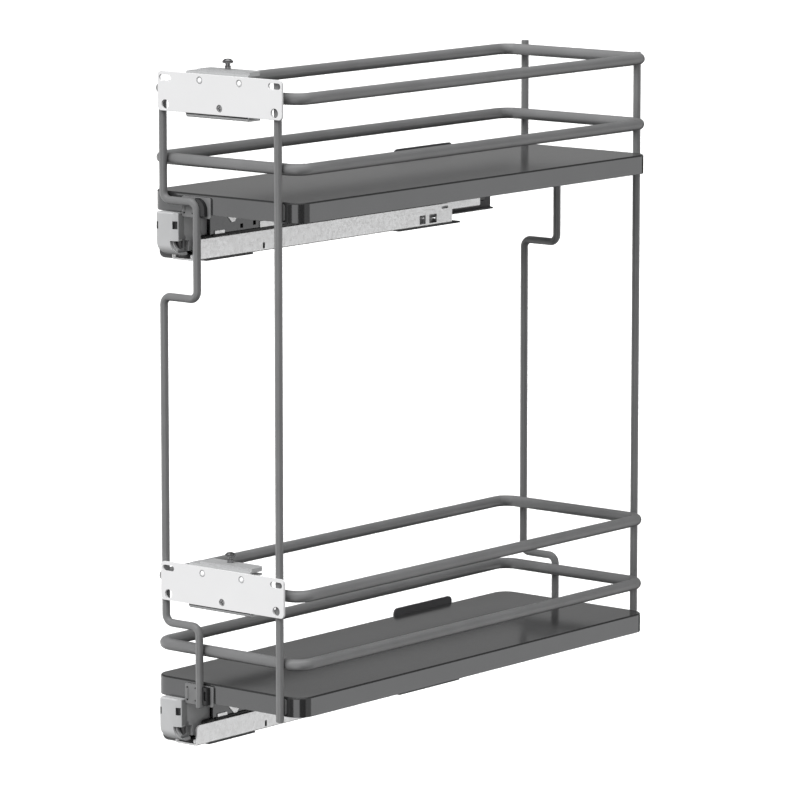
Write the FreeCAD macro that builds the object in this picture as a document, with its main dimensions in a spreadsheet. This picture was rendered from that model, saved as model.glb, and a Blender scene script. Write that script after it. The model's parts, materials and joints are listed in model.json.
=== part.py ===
# Two-tier pull-out basket for a narrow base cabinet, carried on one runner under each tray.
# Millimetres, +Z up. X = 0 is the cabinet side wall and +X points into the cabinet.
# The basket pulls out along -Y. The origin lies midway between the two lower wall screws.
# Every tier is drawn in its own frame: X from the basket's left side, Y from the basket's
# front and Z from the tray's underside. Each body's Placement then sets it in the cabinet.
import FreeCAD, Part
import math
import os
import re
import Sketcher

Vector = FreeCAD.Vector
doc = FreeCAD.newDocument("pull_out_drawer")
sheet = doc.addObject("Spreadsheet::Sheet", "Sizes")

# Driving dimensions: alias, value, meaning
SIZES = [
    ("basket_width", 162.0, "outside of the ring tubes, side to side"),
    ("basket_depth", 468.0, "outside of the ring tubes, front to back"),
    ("wall_gap", 3.0, "cabinet wall to the basket's left side"),
    ("mount_setback", 197.0, "basket front to the middle of the wall screws"),
    ("tray_lift", 20.0, "wall screw row to the tray's underside"),
    ("tier_rise", 401.6, "lower tray to upper tray"),
    ("sheet_steel", 1.5, "thickness of trays, brackets and rails"),
    ("fit_gap", 0.3, "clearance between pieces that move past each other"),
    ("ring_tube", 9.6, "diameter of the ring tubes"),
    ("ring_bend", 13.0, "centre line radius of the ring corners"),
    ("top_ring_rise", 98.8, "tray underside to the top ring's centre"),
    ("middle_ring_rise", 42.5, "tray underside to the middle ring's centre"),
    ("tray_inset", 1.5, "tray wall inside the ring outline"),
    ("tray_corner", 14.0, "outer corner radius of the tray"),
    ("tray_height", 16.4, "height of the tray's folded sides"),
    ("tray_bend", 1.5, "radius of the tray's upper edge"),
    ("wire_dia", 6.5, "diameter of the upright wires"),
    ("wire_bend", 7.0, "centre line radius of the wire bends"),
    ("left_wire_inset", 20.0, "left side to the left wires' centre"),
    ("right_wire_inset", 19.5, "right side to the right wires' centre"),
    ("wire_jog", 36.0, "sideways step of the left wires round the runner"),
    ("upper_jog_rise", 9.9, "upper tray underside to the upper step"),
    ("return_jog_drop", 69.1, "upper tray underside down to the return step"),
    ("front_step_rise", 63.0, "lower tray underside to the front lower step"),
    ("rear_step_rise", 53.0, "lower tray underside to the rear lower step"),
    ("left_wire_top", 7.6, "upper top ring's centre to the left wires' top"),
    ("right_wire_top", 4.3, "upper top ring's centre to the right wires' top"),
    ("wire_foot", 4.0, "wires below the lower tray's underside"),
    ("wire_edge", 0.6, "chamfer on the cut ends of the wires"),
    ("clip_reach_left", 19.0, "wire centre to the clip plate's left edge"),
    ("clip_reach_right", 12.0, "wire centre to the clip plate's right edge"),
    ("clip_foot", 3.0, "clip plate below the tray's underside"),
    ("clip_top", 14.0, "clip plate above the tray's underside"),
    ("clip_corner", 2.0, "corner radius of the clip plate"),
    ("bridge_width", 2.0, "width of the pressed bridges on the clip plate"),
    ("bridge_height", 9.0, "length of the pressed bridges"),
    ("bridge_stand", 0.6, "how far a pressed bridge stands proud"),
    ("bridge_pitch", 9.0, "distance between the two bridges"),
    ("bridge_inset", 2.6, "clip plate edge to the first bridge's centre"),
    ("saddle_width", 5.4, "width of the plastic saddle beside the wire"),
    ("saddle_depth", 3.6, "saddle front to back"),
    ("saddle_height", 14.5, "height of the saddle"),
    ("saddle_sill", 0.5, "clip plate's top above the saddle"),
    ("saddle_frame", 1.4, "rim beside the saddle's window"),
    ("saddle_margin", 3.5, "rim above and below the saddle's window"),
    ("saddle_recess", 1.2, "depth of the saddle's window"),
    ("saddle_bow", 9.0, "outer radius of the upper saddle round the wire's bend"),
    ("saddle_reach", 2.0, "upper saddle's end to the wire's centre line"),
    ("rail_inset", 19.0, "left side to the cabinet rail"),
    ("rail_width", 24.0, "width of the cabinet rail"),
    ("rail_drop", 40.0, "tray underside to the cabinet rail's underside"),
    ("rail_lip", 6.0, "height of the cabinet rail's wall-side lip"),
    ("rail_side", 17.0, "height of the cabinet rail's inboard wall"),
    ("rail_front", 8.0, "basket front to the cabinet rail's front end"),
    ("rail_length", 333.0, "length of the cabinet rail"),
    ("rail_bend", 2.0, "outer bend radius of the cabinet rail"),
    ("rail_nose", 4.0, "radius of the inboard wall's front corner"),
    ("port_first", 44.0, "rail's rear end to the front of its first port"),
    ("port_first_length", 8.0, "length of the first port"),
    ("port_second", 31.0, "rail's rear end to the front of its second port"),
    ("port_second_length", 10.0, "length of the second port"),
    ("port_sill", 0.5, "rail floor to the ports"),
    ("port_height", 7.5, "height of the ports"),
    ("mark_front", 85.0, "rail's front to its upright slot"),
    ("mark_width", 2.6, "width of the upright slot"),
    ("mark_height", 5.0, "height of the upright slot"),
    ("tail_slot_length", 9.0, "length of the slot near the rail's rear end"),
    ("tail_slot_width", 2.2, "width of that slot"),
    ("tail_slot_inset", 10.0, "rail's rear end to that slot's centre"),
    ("tail_slot_drop", 3.0, "inboard wall's top to that slot"),
    ("roller_dia", 3.7, "diameter of the runner's rollers"),
    ("roller_play", 0.15, "clearance above and below a roller"),
    ("roller_length", 12.0, "length of a roller"),
    ("roller_pitch", 28.0, "distance between rollers"),
    ("cage_thick", 1.2, "thickness of the roller cages"),
    ("cage_width", 15.0, "width of the roller cages"),
    ("cage_reach", 4.0, "least cover of a cage's end at full travel"),
    ("middle_front", 36.0, "basket front to the front of the two inner rails"),
    ("middle_length", 303.0, "length of the middle rail"),
    ("middle_height", 8.0, "height of the middle rail"),
    ("middle_width", 15.0, "width of the middle rail"),
    ("cap_length", 6.5, "length of the drawer rail's end cap"),
    ("drawer_rail_length", 347.0, "length of the drawer rail"),
    ("drawer_rail_wall", 1.2, "wall of the drawer rail"),
    ("drawer_rail_side", 9.0, "height of the drawer rail"),
    ("drawer_rail_lip", 2.2, "inward lip under the drawer rail"),
    ("side_play", 0.5, "side clearance between drawer rail and middle rail"),
    ("hook_thick", 0.8, "thickness of the drawer rail's hooks"),
    ("hook_foot", 5.0, "drawer rail's top down to the foot of a hook"),
    ("hook_front_length", 12.0, "length of the front hook"),
    ("hook_front_rise", 3.0, "front hook above the drawer rail"),
    ("hook_rear", 92.0, "basket front to the rear hook"),
    ("hook_rear_length", 18.0, "length of the rear hook"),
    ("hook_rear_rise", 5.5, "rear hook above the drawer rail"),
    ("travel", 430.0, "pull-out travel of the basket"),
    ("carrier_length", 406.0, "length of the tray carrier"),
    ("carrier_front", 31.0, "basket front to the carrier's front"),
    ("carrier_bend", 2.0, "outer bend radius of the carrier"),
    ("notch_front", 50.0, "basket front to the carrier's notch"),
    ("notch_length", 14.0, "length of the carrier's notch"),
    ("notch_depth", 6.5, "depth of the carrier's notch"),
    ("relief_front", 62.0, "basket front to the opening in the carrier's wall-side web"),
    ("relief_length", 34.0, "length of that opening"),
    ("relief_depth", 14.0, "tray underside down to that opening's lower edge"),
    ("square_hole", 3.6, "size of the carrier's square holes"),
    ("square_front", 68.0, "basket front to the first square hole"),
    ("square_front_drop", 17.0, "tray underside to the first square hole's centre"),
    ("square_rear", 84.0, "basket front to the second square hole"),
    ("square_rear_drop", 16.0, "tray underside to the second square hole's centre"),
    ("bracket_front", 20.0, "basket front to the wall bracket"),
    ("bracket_length", 430.0, "length of the wall bracket"),
    ("bracket_top", 10.0, "tray underside down to the bracket's top edge"),
    ("bracket_bend", 2.5, "outer bend radius of the wall bracket"),
    ("bracket_corner", 5.0, "corner radius of the bracket plates"),
    ("bracket_flange", 15.0, "width of the bracket's narrow flange from the wall"),
    ("bracket_tail", 4.5, "width of that flange behind the rear foot"),
    ("waist_front", 66.0, "basket front to the bracket's low waist"),
    ("waist_rear", 290.0, "basket front to the rear of the waist"),
    ("waist_drop", 24.0, "tray underside down to the waist"),
    ("foot_front", 24.0, "basket front to the front foot"),
    ("foot_front_length", 58.0, "length of the front foot"),
    ("foot_front_width", 45.0, "wall to the front foot's edge"),
    ("foot_rear", 271.0, "basket front to the rear foot"),
    ("foot_rear_length", 82.5, "length of the rear foot"),
    ("foot_rear_width", 45.0, "wall to the rear foot's edge"),
    ("ear_front", 317.0, "basket front to the raised ear"),
    ("ear_length", 80.0, "length of the raised ear"),
    ("ear_top", 21.5, "tray underside to the ear's top edge"),
    ("screw_spacing", 320.0, "distance between the two wall screws"),
    ("screw_hole", 5.2, "diameter of the wall screw holes"),
    ("ear_screw_inset", 8.0, "ear edge to the ear screw holes"),
    ("ear_screw_drop", 9.5, "ear's top edge to the ear screw holes"),
    ("damper_inset", 3.4, "left side to the soft-close housing"),
    ("damper_width", 11.2, "width of the soft-close housing"),
    ("damper_height", 15.0, "height of the soft-close housing"),
    ("damper_front", 8.0, "basket front to the soft-close housing"),
    ("damper_length", 192.0, "length of the soft-close housing"),
    ("damper_round", 5.0, "lower edge radius of the soft-close housing"),
    ("damper_foot", 4.5, "height of the housing's foot beside the rail"),
    ("slider_width", 5.0, "width of the soft-close slider"),
    ("slider_length", 18.0, "length of the soft-close slider"),
    ("slider_depth", 8.0, "depth of the slider's slot"),
    ("slider_travel", 40.0, "travel of the soft-close slider"),
    ("slider_ramp", 3.0, "slope at the front of the slider's crest"),
    ("slider_dip", 1.5, "depth of the slider's seat for the drive pin"),
    ("slot_spare", 2.0, "free length at both ends of the slider's slot"),
    ("pin_setback", 105.0, "basket front to the drive pin"),
    ("pin_dia", 3.0, "diameter of the drive pin"),
    ("pin_drop", 17.0, "tray underside to the drive pin's centre"),
    ("catch_inset", 15.0, "left side to the catch housing"),
    ("catch_width", 21.5, "width of the catch housing"),
    ("catch_front", 6.0, "catch housing in front of the basket"),
    ("catch_rear", 31.0, "basket front to the catch housing's rear"),
    ("catch_height", 35.0, "height of the catch housing"),
    ("catch_heel", 32.0, "height of the catch housing's rear part"),
    ("catch_bevel", 5.0, "width of the bevel on the catch housing's inboard edge"),
    ("catch_bevel_depth", 2.2, "how far back that bevel runs"),
    ("window_drop", 6.9, "tray underside to the catch's window"),
    ("window_height", 6.4, "height of the catch's window"),
    ("window_depth", 2.0, "depth of the window behind the bevel"),
    ("catch_round", 8.0, "lower front radius of the catch housing"),
    ("lever_radius", 9.0, "radius of the release lever's cup"),
    ("lever_wall", 1.5, "wall of the release lever"),
    ("lever_room", 1.2, "room round the release lever"),
    ("lever_offset", 2.9, "catch housing's side to the centre of the lever's cup"),
    ("lever_setback", 1.6, "catch housing's front to the cup's front"),
    ("lever_flush", 0.2, "lever inside the catch housing's side"),
    ("arm_play", 0.4, "clearance before and behind the lever's arm"),
    ("scoop_depth", 9.2, "basket front to the rear of the lever's scoop"),
    ("lever_rise", 23.0, "tray underside to the cup's top edge"),
    ("lever_pin", 3.2, "diameter of the release lever's pivot"),
    ("lever_pin_lift", 2.6, "cup's top edge to the pivot's centre"),
    ("plate_width", 132.0, "width of the door plate"),
    ("plate_height", 32.0, "height of the door plate"),
    ("plate_thick", 2.0, "thickness of the door plate"),
    ("plate_corner", 3.5, "corner radius of the door plate"),
    ("plate_centre", 85.5, "left side to the door plate's centre"),
    ("plate_hole_reach", 58.0, "plate centre to the outer holes"),
    ("plate_hole_rise", 10.7, "plate centre line to the hole rows"),
    ("plate_slot_length", 12.5, "length of the door plate's slots"),
    ("plate_slot_width", 5.0, "width of the door plate's slots"),
    ("plate_corner_hole", 7.5, "diameter of the plate's lower holes"),
    ("boss_reach", 21.0, "plate centre to the pressed bosses"),
    ("boss_dia", 6.0, "hole for a pressed boss or for the clamp screw"),
    ("boss_bore", 4.0, "bore of a pressed boss"),
    ("carriage_inset", 48.0, "left side to the door carriage"),
    ("carriage_width", 66.0, "width of the door carriage"),
    ("carriage_half", 17.7, "ring centre to the carriage's outer faces"),
    ("carriage_reach", 12.0, "basket front to the carriage's rear edges"),
    ("carriage_corner", 6.0, "corner radius of the carriage's flanges"),
    ("nut_plate_inset", 10.5, "carriage edge to the raised nut plate"),
    ("nut_plate_thick", 2.0, "thickness of the raised nut plate"),
    ("holder_margin", 3.0, "carriage edge to the ring holder inside it"),
    ("holder_half", 13.6, "ring centre to the ring holder's outer faces"),
    ("cheek_inset", 8.0, "ring holder edge to its cheeks"),
    ("height_travel", 2.1, "height adjustment of the door plate each way"),
    ("height_screw_inset", 81.5, "left side to the height screw"),
    ("height_screw_back", 6.5, "basket front to the height screw"),
    ("height_screw_dia", 5.0, "diameter of the height screw"),
    ("height_screw_neck", 4.0, "diameter of the height screw's neck"),
    ("height_screw_head", 9.2, "diameter of the height screw's head"),
    ("height_head_thick", 3.4, "height of the screw's head"),
    ("height_head_rise", 28.0, "ring centre to the top of the screw's head"),
    ("screw_play", 0.1, "radial clearance of the height screw"),
    ("collar_height", 1.4, "height of the height screw's collar"),
    ("collar_step", 1.0, "collar wider than the thread all round"),
    ("head_edge", 0.8, "bevel under the height screw's head"),
    ("head_cross", 0.6, "half width of the height screw's cross recess"),
    ("head_recess", 1.2, "depth of the height screw's cross recess"),
    ("clamp_screw_dia", 3.5, "diameter of the clamp screw"),
    ("clamp_head_dia", 5.4, "diameter of the clamp screw's head"),
    ("clamp_head_thick", 1.3, "thickness of the clamp screw's head"),
    ("clamp_cross", 0.5, "half width of the clamp screw's cross recess"),
    ("spare", 2.0, "how far a cutting shape runs past the material"),
]
ALIASES = set()
for row, (alias, value, meaning) in enumerate(SIZES, start=1):
    sheet.set("A%d" % row, meaning)
    sheet.set("B%d" % row, "%g" % value)
    sheet.setAlias("B%d" % row, alias)
    ALIASES.add(alias)
doc.recompute()

# Lengths that several pieces share, written in terms of the driving dimensions
TRAY_SHEET = "(tray_height - sheet_steel)"
RAIL_LEFT = "rail_inset"
RAIL_RIGHT = "(rail_inset + rail_width)"
RAIL_MIDDLE = "(rail_inset + rail_width / 2)"
RAIL_FLOOR = "(sheet_steel - rail_drop)"
ROLLER_SPACE = "(roller_dia + 2 * roller_play)"
MIDDLE_FLOOR = "(sheet_steel - rail_drop + roller_dia + 2 * roller_play)"
MIDDLE_TOP = "(sheet_steel - rail_drop + roller_dia + 2 * roller_play + middle_height)"
DRAWER_CEILING = "(sheet_steel - rail_drop + 2 * roller_dia + 4 * roller_play + middle_height)"
DRAWER_TOP = "(%s + sheet_steel)" % DRAWER_CEILING
DRAWER_HALF = "(middle_width / 2 + side_play + drawer_rail_wall)"
MIDDLE_REAR = "(middle_front + middle_length)"
DRAWER_REAR = "(middle_front + drawer_rail_length)"
WALL = "(-wall_gap)"
SADDLE_X = "(left_wire_inset + wire_jog)"
PLATE_BACK = "(-wire_dia - fit_gap)"
PLATE_FACE = "(-wire_dia - fit_gap - plate_thick)"
HOLDER_FRONT = "(-wire_dia - fit_gap + sheet_steel + fit_gap)"
CATCH_RIGHT = "(catch_inset + catch_width)"
LEVER_CENTRE = "(catch_inset + catch_width + lever_offset)"
LEVER_PIVOT_Z = "(lever_pin_lift - lever_rise)"
LEVER_PIVOT_Y = "lever_pin"
LEVER_SIDE = "(catch_inset + catch_width - lever_flush)"
PIECES = []


def bound(text):
    """The expression with every alias written as a cell of the sheet."""
    def name(match):
        word = match.group(0)
        return "Sizes." + word if word in ALIASES else word
    return re.sub(r"[a-z][a-z_]*", name, str(text))


def size(text):
    """The present value of an expression in aliases."""
    return float(sheet.evalExpression(bound(text)))


def new_body(name, upper=False):
    """An empty body set in the cabinet by its tier."""
    body = doc.addObject("PartDesign::Body", name)
    body.Label = name
    body.setExpression("Placement.Base.x", bound("wall_gap"))
    body.setExpression("Placement.Base.y", bound("-mount_setback"))
    lift = "tray_lift + tier_rise" if upper else "tray_lift"
    body.setExpression("Placement.Base.z", bound(lift))
    PIECES.append(body)
    return body


def tie(sketch, kind, expression, *ends):
    """Adds a dimension to a sketch and binds it to the sheet."""
    index = sketch.addConstraint(Sketcher.Constraint(kind, *ends, size(expression)))
    sketch.setExpression("Constraints[%d]" % index, bound(expression))


def join(sketch, kind, *ends):
    """Adds a constraint that has no value."""
    sketch.addConstraint(Sketcher.Constraint(kind, *ends))


def chain(sketch, corners, bends=None, closed=True):
    """Level and upright runs through the corners, each corner rounded by its bend or sharp."""
    count = len(corners)
    if not isinstance(bends, (list, tuple)):
        bends = [bends] * count
    points = [Vector(size(x), size(y), 0) for x, y in corners]
    radii = [size(bend) if bend else 0.0 for bend in bends]
    if not closed:
        radii[0] = 0.0
        radii[-1] = 0.0
    runs = count if closed else count - 1
    ways = []
    for i in range(runs):
        way = points[(i + 1) % count] - points[i]
        ways.append(way.normalize())
    lines = []
    for i in range(runs):
        start = points[i] + ways[i] * radii[i]
        end = points[(i + 1) % count] - ways[i] * radii[(i + 1) % count]
        lines.append(sketch.addGeometry(Part.LineSegment(start, end), False))
        level = abs(ways[i].x) > abs(ways[i].y)
        join(sketch, "Horizontal" if level else "Vertical", lines[i])
        if level:
            tie(sketch, "DistanceY", corners[i][1], -1, 1, lines[i], 1)
        else:
            tie(sketch, "DistanceX", corners[i][0], -1, 1, lines[i], 1)
    inner = range(count) if closed else range(1, count - 1)
    for i in inner:
        before = lines[i - 1]
        after = lines[i % runs]
        if radii[i] == 0.0:
            join(sketch, "Coincident", before, 2, after, 1)
            continue
        arriving = ways[i - 1]
        leaving = ways[i % runs]
        centre = points[i] - arriving * radii[i] + leaving * radii[i]
        left_turn = arriving.cross(leaving).z > 0
        first = points[i] - arriving * radii[i] - centre
        last = points[i] + leaving * radii[i] - centre
        if not left_turn:
            first, last = last, first
        start_angle = math.atan2(first.y, first.x)
        end_angle = math.atan2(last.y, last.x)
        circle_line = Part.Circle(centre, Vector(0, 0, 1), radii[i])
        arc = sketch.addGeometry(Part.ArcOfCircle(circle_line, start_angle, end_angle), False)
        entry, leave = (1, 2) if left_turn else (2, 1)
        join(sketch, "Tangent", before, 2, arc, entry)
        join(sketch, "Tangent", arc, leave, after, 1)
        tie(sketch, "Radius", bends[i], arc)
    if not closed:
        starting = (lines[0], 1, corners[0], ways[0])
        ending = (lines[-1], 2, corners[-1], ways[-1])
        for line, end, corner, way in (starting, ending):
            if abs(way.x) > abs(way.y):
                tie(sketch, "DistanceX", corner[0], -1, 1, line, end)
            else:
                tie(sketch, "DistanceY", corner[1], -1, 1, line, end)


def rectangle(sketch, left, bottom, right, top, bend=None):
    """A rectangle between two corners with equal corner radii."""
    chain(sketch, [(left, bottom), (right, bottom), (right, top), (left, top)], bend)


def polygon(sketch, points):
    """Straight runs through points that each have their own two dimensions."""
    places = [Vector(size(x), size(y), 0) for x, y in points]
    count = len(points)
    lines = []
    for i in range(count):
        lines.append(sketch.addGeometry(Part.LineSegment(places[i], places[(i + 1) % count]), False))
        tie(sketch, "DistanceX", points[i][0], -1, 1, lines[i], 1)
        tie(sketch, "DistanceY", points[i][1], -1, 1, lines[i], 1)
    for i in range(count):
        join(sketch, "Coincident", lines[i - 1], 2, lines[i], 1)


def ring(sketch, x, y, diameter):
    """A circle with its centre and diameter bound to the sheet."""
    centre = Vector(size(x), size(y), 0)
    index = sketch.addGeometry(Part.Circle(centre, Vector(0, 0, 1), size(diameter) / 2), False)
    tie(sketch, "DistanceX", x, -1, 1, index, 3)
    tie(sketch, "DistanceY", y, -1, 1, index, 3)
    tie(sketch, "Diameter", diameter, index)


def slot(sketch, x, y, length, width):
    """A level slot with round ends, given by its centre and overall length."""
    radius = size(width) / 2
    reach = size(length) / 2 - radius
    cx, cy = size(x), size(y)
    top = Part.LineSegment(Vector(cx - reach, cy + radius, 0), Vector(cx + reach, cy + radius, 0))
    low = Part.LineSegment(Vector(cx - reach, cy - radius, 0), Vector(cx + reach, cy - radius, 0))
    right = Part.Circle(Vector(cx + reach, cy, 0), Vector(0, 0, 1), radius)
    left = Part.Circle(Vector(cx - reach, cy, 0), Vector(0, 0, 1), radius)
    a = sketch.addGeometry(top, False)
    b = sketch.addGeometry(low, False)
    c = sketch.addGeometry(Part.ArcOfCircle(right, -math.pi / 2, math.pi / 2), False)
    d = sketch.addGeometry(Part.ArcOfCircle(left, math.pi / 2, 3 * math.pi / 2), False)
    join(sketch, "Tangent", b, 2, c, 1)
    join(sketch, "Tangent", c, 2, a, 2)
    join(sketch, "Tangent", a, 1, d, 1)
    join(sketch, "Tangent", d, 2, b, 1)
    join(sketch, "Horizontal", a)
    tie(sketch, "DistanceX", "%s + (%s - %s) / 2" % (x, length, width), -1, 1, c, 3)
    tie(sketch, "DistanceX", "%s - (%s - %s) / 2" % (x, length, width), -1, 1, d, 3)
    tie(sketch, "DistanceY", y, -1, 1, c, 3)
    tie(sketch, "Diameter", width, c)


def new_sketch(body, name, plane, offset):
    """An empty sketch parallel to one of the body's own planes."""
    sketch = body.newObject("Sketcher::SketchObject", name + "_sketch")
    support = [item for item in body.Origin.OriginFeatures if item.Role == plane][0]
    sketch.AttachmentSupport = [(support, "")]
    sketch.MapMode = "FlatFace"
    sign = "-1" if plane == "XZ_Plane" else "1"
    sketch.setExpression("AttachmentOffset.Base.z", bound("%s * (%s)" % (sign, offset)))
    return sketch


def extrude(body, kind, plane, name, start, stop, draw):
    """A Pad or a Pocket from start to stop along the plane's axis."""
    sketch = new_sketch(body, name, plane, start)
    draw(sketch)
    feature = body.newObject("PartDesign::" + kind, name)
    feature.Profile = sketch
    feature.setExpression("Length", bound("(%s) - (%s)" % (stop, start)))
    against = plane == "XZ_Plane"
    feature.Reversed = against if kind == "Pad" else not against
    return feature


def edges_at(shape, axis, **places):
    """Names of straight edges along an axis that lie at the given places."""
    names = []
    for number, edge in enumerate(shape.Edges, start=1):
        if len(edge.Vertexes) != 2 or edge.Curve.TypeId != "Part::GeomLine":
            continue
        way = edge.Vertexes[1].Point - edge.Vertexes[0].Point
        if abs(way.normalize().dot(axis)) < 0.999:
            continue
        middle = edge.CenterOfMass
        if all(abs(getattr(middle, key) - value) < 0.01 for key, value in places.items()):
            names.append("Edge%d" % number)
    return names


def dress(body, kind, name, amount, axis, places):
    """A Fillet or Chamfer on the edges along an axis at each of the places."""
    doc.recompute()
    base = body.Tip
    names = []
    for place in places:
        names += edges_at(base.Shape, axis, **place)
    feature = body.newObject("PartDesign::" + kind, name)
    feature.Base = (base, names)
    feature.setExpression("Radius" if kind == "Fillet" else "Size", bound(amount))
    return feature


X_WAY = Vector(1, 0, 0)
Y_WAY = Vector(0, 1, 0)
Z_WAY = Vector(0, 0, 1)


def repeat(body, name, originals, length, count):
    """A row of copies along Y that becomes the body's tip."""
    feature = body.newObject("PartDesign::LinearPattern", name)
    feature.Originals = originals
    axis = [item for item in body.Origin.OriginFeatures if item.Role == "Y_Axis"][0]
    feature.Direction = (axis, [""])
    feature.setExpression("Length", bound(length))
    feature.Occurrences = count
    body.Tip = feature
    return feature


def make_tray(tier, upper):
    """Tray folded from one sheet: a flat top with a side folded down all round."""
    body = new_body(tier + "_tray", upper)
    left = "tray_inset"
    right = "basket_width - tray_inset"
    rear = "basket_depth - tray_inset"
    extrude(body, "Pad", "XY_Plane", tier + "_tray_blank", "0", "tray_height",
            lambda sketch: rectangle(sketch, left, left, right, rear, "tray_corner"))
    top = size("tray_height")
    dress(body, "Fillet", tier + "_tray_edge", "tray_bend", X_WAY,
          [{"y": size(left), "z": top}, {"y": size(rear), "z": top}])
    inner = "tray_inset + sheet_steel"
    inner_right = "basket_width - tray_inset - sheet_steel"
    inner_rear = "basket_depth - tray_inset - sheet_steel"
    corner = "tray_corner - sheet_steel"
    extrude(body, "Pocket", "XY_Plane", tier + "_tray_hollow", "-spare", TRAY_SHEET,
            lambda sketch: rectangle(sketch, inner, inner, inner_right, inner_rear, corner))


def make_ring(tier, name, rise, upper):
    """Closed ring of round tube swept along a rounded rectangle."""
    body = new_body(tier + "_" + name, upper)
    path = new_sketch(body, body.Label + "_path", "XY_Plane", rise)
    near = "ring_tube / 2"
    far_x = "basket_width - ring_tube / 2"
    far_y = "basket_depth - ring_tube / 2"
    rectangle(path, near, near, far_x, far_y, "ring_bend")
    section = new_sketch(body, body.Label + "_section", "YZ_Plane", "ring_tube / 2 + ring_bend")
    ring(section, near, rise, "ring_tube")
    sweep = body.newObject("PartDesign::AdditivePipe", body.Label + "_sweep")
    sweep.Profile = section
    sweep.Spine = path


def make_wire(name, side_y, corners):
    """Bent wire swept along level and upright runs, with chamfered ends."""
    body = new_body(name)
    foot_x, foot_z = corners[0]
    if len(corners) == 2:
        extrude(body, "Pad", "XY_Plane", name + "_rod", foot_z, corners[1][1],
                lambda sketch: ring(sketch, foot_x, side_y, "wire_dia"))
    else:
        path = new_sketch(body, name + "_path", "XZ_Plane", side_y)
        chain(path, corners, "wire_bend", closed=False)
        section = new_sketch(body, name + "_section", "XY_Plane", foot_z)
        ring(section, foot_x, side_y, "wire_dia")
        sweep = body.newObject("PartDesign::AdditivePipe", name + "_sweep")
        sweep.Profile = section
        sweep.Spine = path
    doc.recompute()
    base = body.Tip
    ends = []
    for number, edge in enumerate(base.Shape.Edges, start=1):
        level = abs(edge.BoundBox.ZLength) < 0.001
        height = edge.BoundBox.ZMin
        at_end = min(abs(height - size(foot_z)), abs(height - size(corners[-1][1]))) < 0.01
        if level and at_end:
            ends.append("Edge%d" % number)
    chamfer = body.newObject("PartDesign::Chamfer", name + "_ends")
    chamfer.Base = (base, ends)
    chamfer.setExpression("Size", bound("wire_edge"))


def make_wires():
    """Four upright wires that join both tiers; the left ones step round the runners."""
    front = "(-wire_dia / 2)"
    rear = "(basket_depth + wire_dia / 2)"
    outer = "left_wire_inset"
    inner = "(left_wire_inset + wire_jog)"
    right = "(basket_width - right_wire_inset)"
    foot = "(-wire_foot)"
    back_step = "(tier_rise - return_jog_drop)"
    high_step = "(tier_rise + upper_jog_rise)"
    left_top = "(tier_rise + top_ring_rise + left_wire_top)"
    right_top = "(tier_rise + top_ring_rise + right_wire_top)"
    for name, side_y in (("front", front), ("rear", rear)):
        step = name + "_step_rise"
        steps = [(inner, foot), (inner, step), (outer, step), (outer, back_step),
                 (inner, back_step), (inner, high_step), (outer, high_step), (outer, left_top)]
        make_wire(name + "_left_wire", side_y, steps)
        make_wire(name + "_right_wire", side_y, [(right, foot), (right, right_top)])


def make_clips(tier, upper):
    """Clip plates between the left wires and the tray's sides, front and rear."""
    left = "(left_wire_inset + wire_jog - clip_reach_left)"
    right = "(left_wire_inset + wire_jog + clip_reach_right)"
    first = "(left_wire_inset + wire_jog - clip_reach_left + bridge_inset)"
    low = "((clip_top - clip_foot - bridge_height) / 2)"
    high = "(%s + bridge_height)" % low
    if upper:
        high = "(upper_jog_rise - wire_dia / 2 - fit_gap)"
    for name, start, stop, proud in (
            ("front", "0", "tray_inset", "-bridge_stand"),
            ("rear", "basket_depth - tray_inset", "basket_depth", "basket_depth")):
        body = new_body("%s_%s_clip" % (tier, name), upper)
        extrude(body, "Pad", "XZ_Plane", body.Label + "_plate", start, stop,
                lambda sketch: rectangle(sketch, left, "-clip_foot", right, "clip_top", "clip_corner"))
        for number in range(2):
            bridge_left = "(%s + %d * bridge_pitch - bridge_width / 2)" % (first, number)
            bridge_right = bridge_left + " + bridge_width"
            extrude(body, "Pad", "XZ_Plane", "%s_bridge_%d" % (body.Label, number), proud,
                    "%s + bridge_stand" % proud,
                    lambda sketch: rectangle(sketch, bridge_left, low, bridge_right, high))


def make_saddle(tier, upper):
    """Plastic saddle that holds the front left wire; the upper one follows the wire's bend."""
    body = new_body(tier + "_wire_saddle", upper)
    wire_side = "(%s + wire_dia / 2)" % SADDLE_X
    right = "(%s + wire_dia / 2 + saddle_width)" % SADDLE_X
    low = "(clip_top - saddle_height - saddle_sill)"
    high = "(clip_top - saddle_sill)"
    front = "-saddle_depth"
    if upper:
        end = "(%s - saddle_reach)" % SADDLE_X
        extrude(body, "Pad", "XZ_Plane", body.Label + "_block", front, "0",
                lambda sketch: chain(sketch, [(end, low), (right, low), (right, high), (end, high)],
                                     [None, None, "saddle_bow", None]))
        bend_z = "(upper_jog_rise - wire_bend)"
        extrude(body, "Pocket", "XZ_Plane", body.Label + "_bend_seat", front + " - spare", "spare",
                lambda sketch: ring(sketch, "%s - wire_bend" % SADDLE_X, bend_z,
                                    "2 * wire_bend + wire_dia + 2 * screw_play"))
        extrude(body, "Pocket", "XZ_Plane", body.Label + "_wire_seat", front + " - spare", "spare",
                lambda sketch: rectangle(sketch, end + " - spare", low + " - spare",
                                         wire_side + " + screw_play", bend_z))
        return
    extrude(body, "Pad", "XZ_Plane", body.Label + "_block", front, "0",
            lambda sketch: rectangle(sketch, wire_side, low, right, high))
    dress(body, "Fillet", body.Label + "_round", "saddle_depth / 3", Z_WAY,
          [{"x": size(right), "y": size(front)}])
    extrude(body, "Pocket", "XZ_Plane", body.Label + "_window", front, front + " + saddle_recess",
            lambda sketch: rectangle(sketch, wire_side + " + saddle_frame", low + " + saddle_margin",
                                     right + " - saddle_frame", high + " - saddle_margin",
                                     "saddle_frame / 2"))


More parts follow.
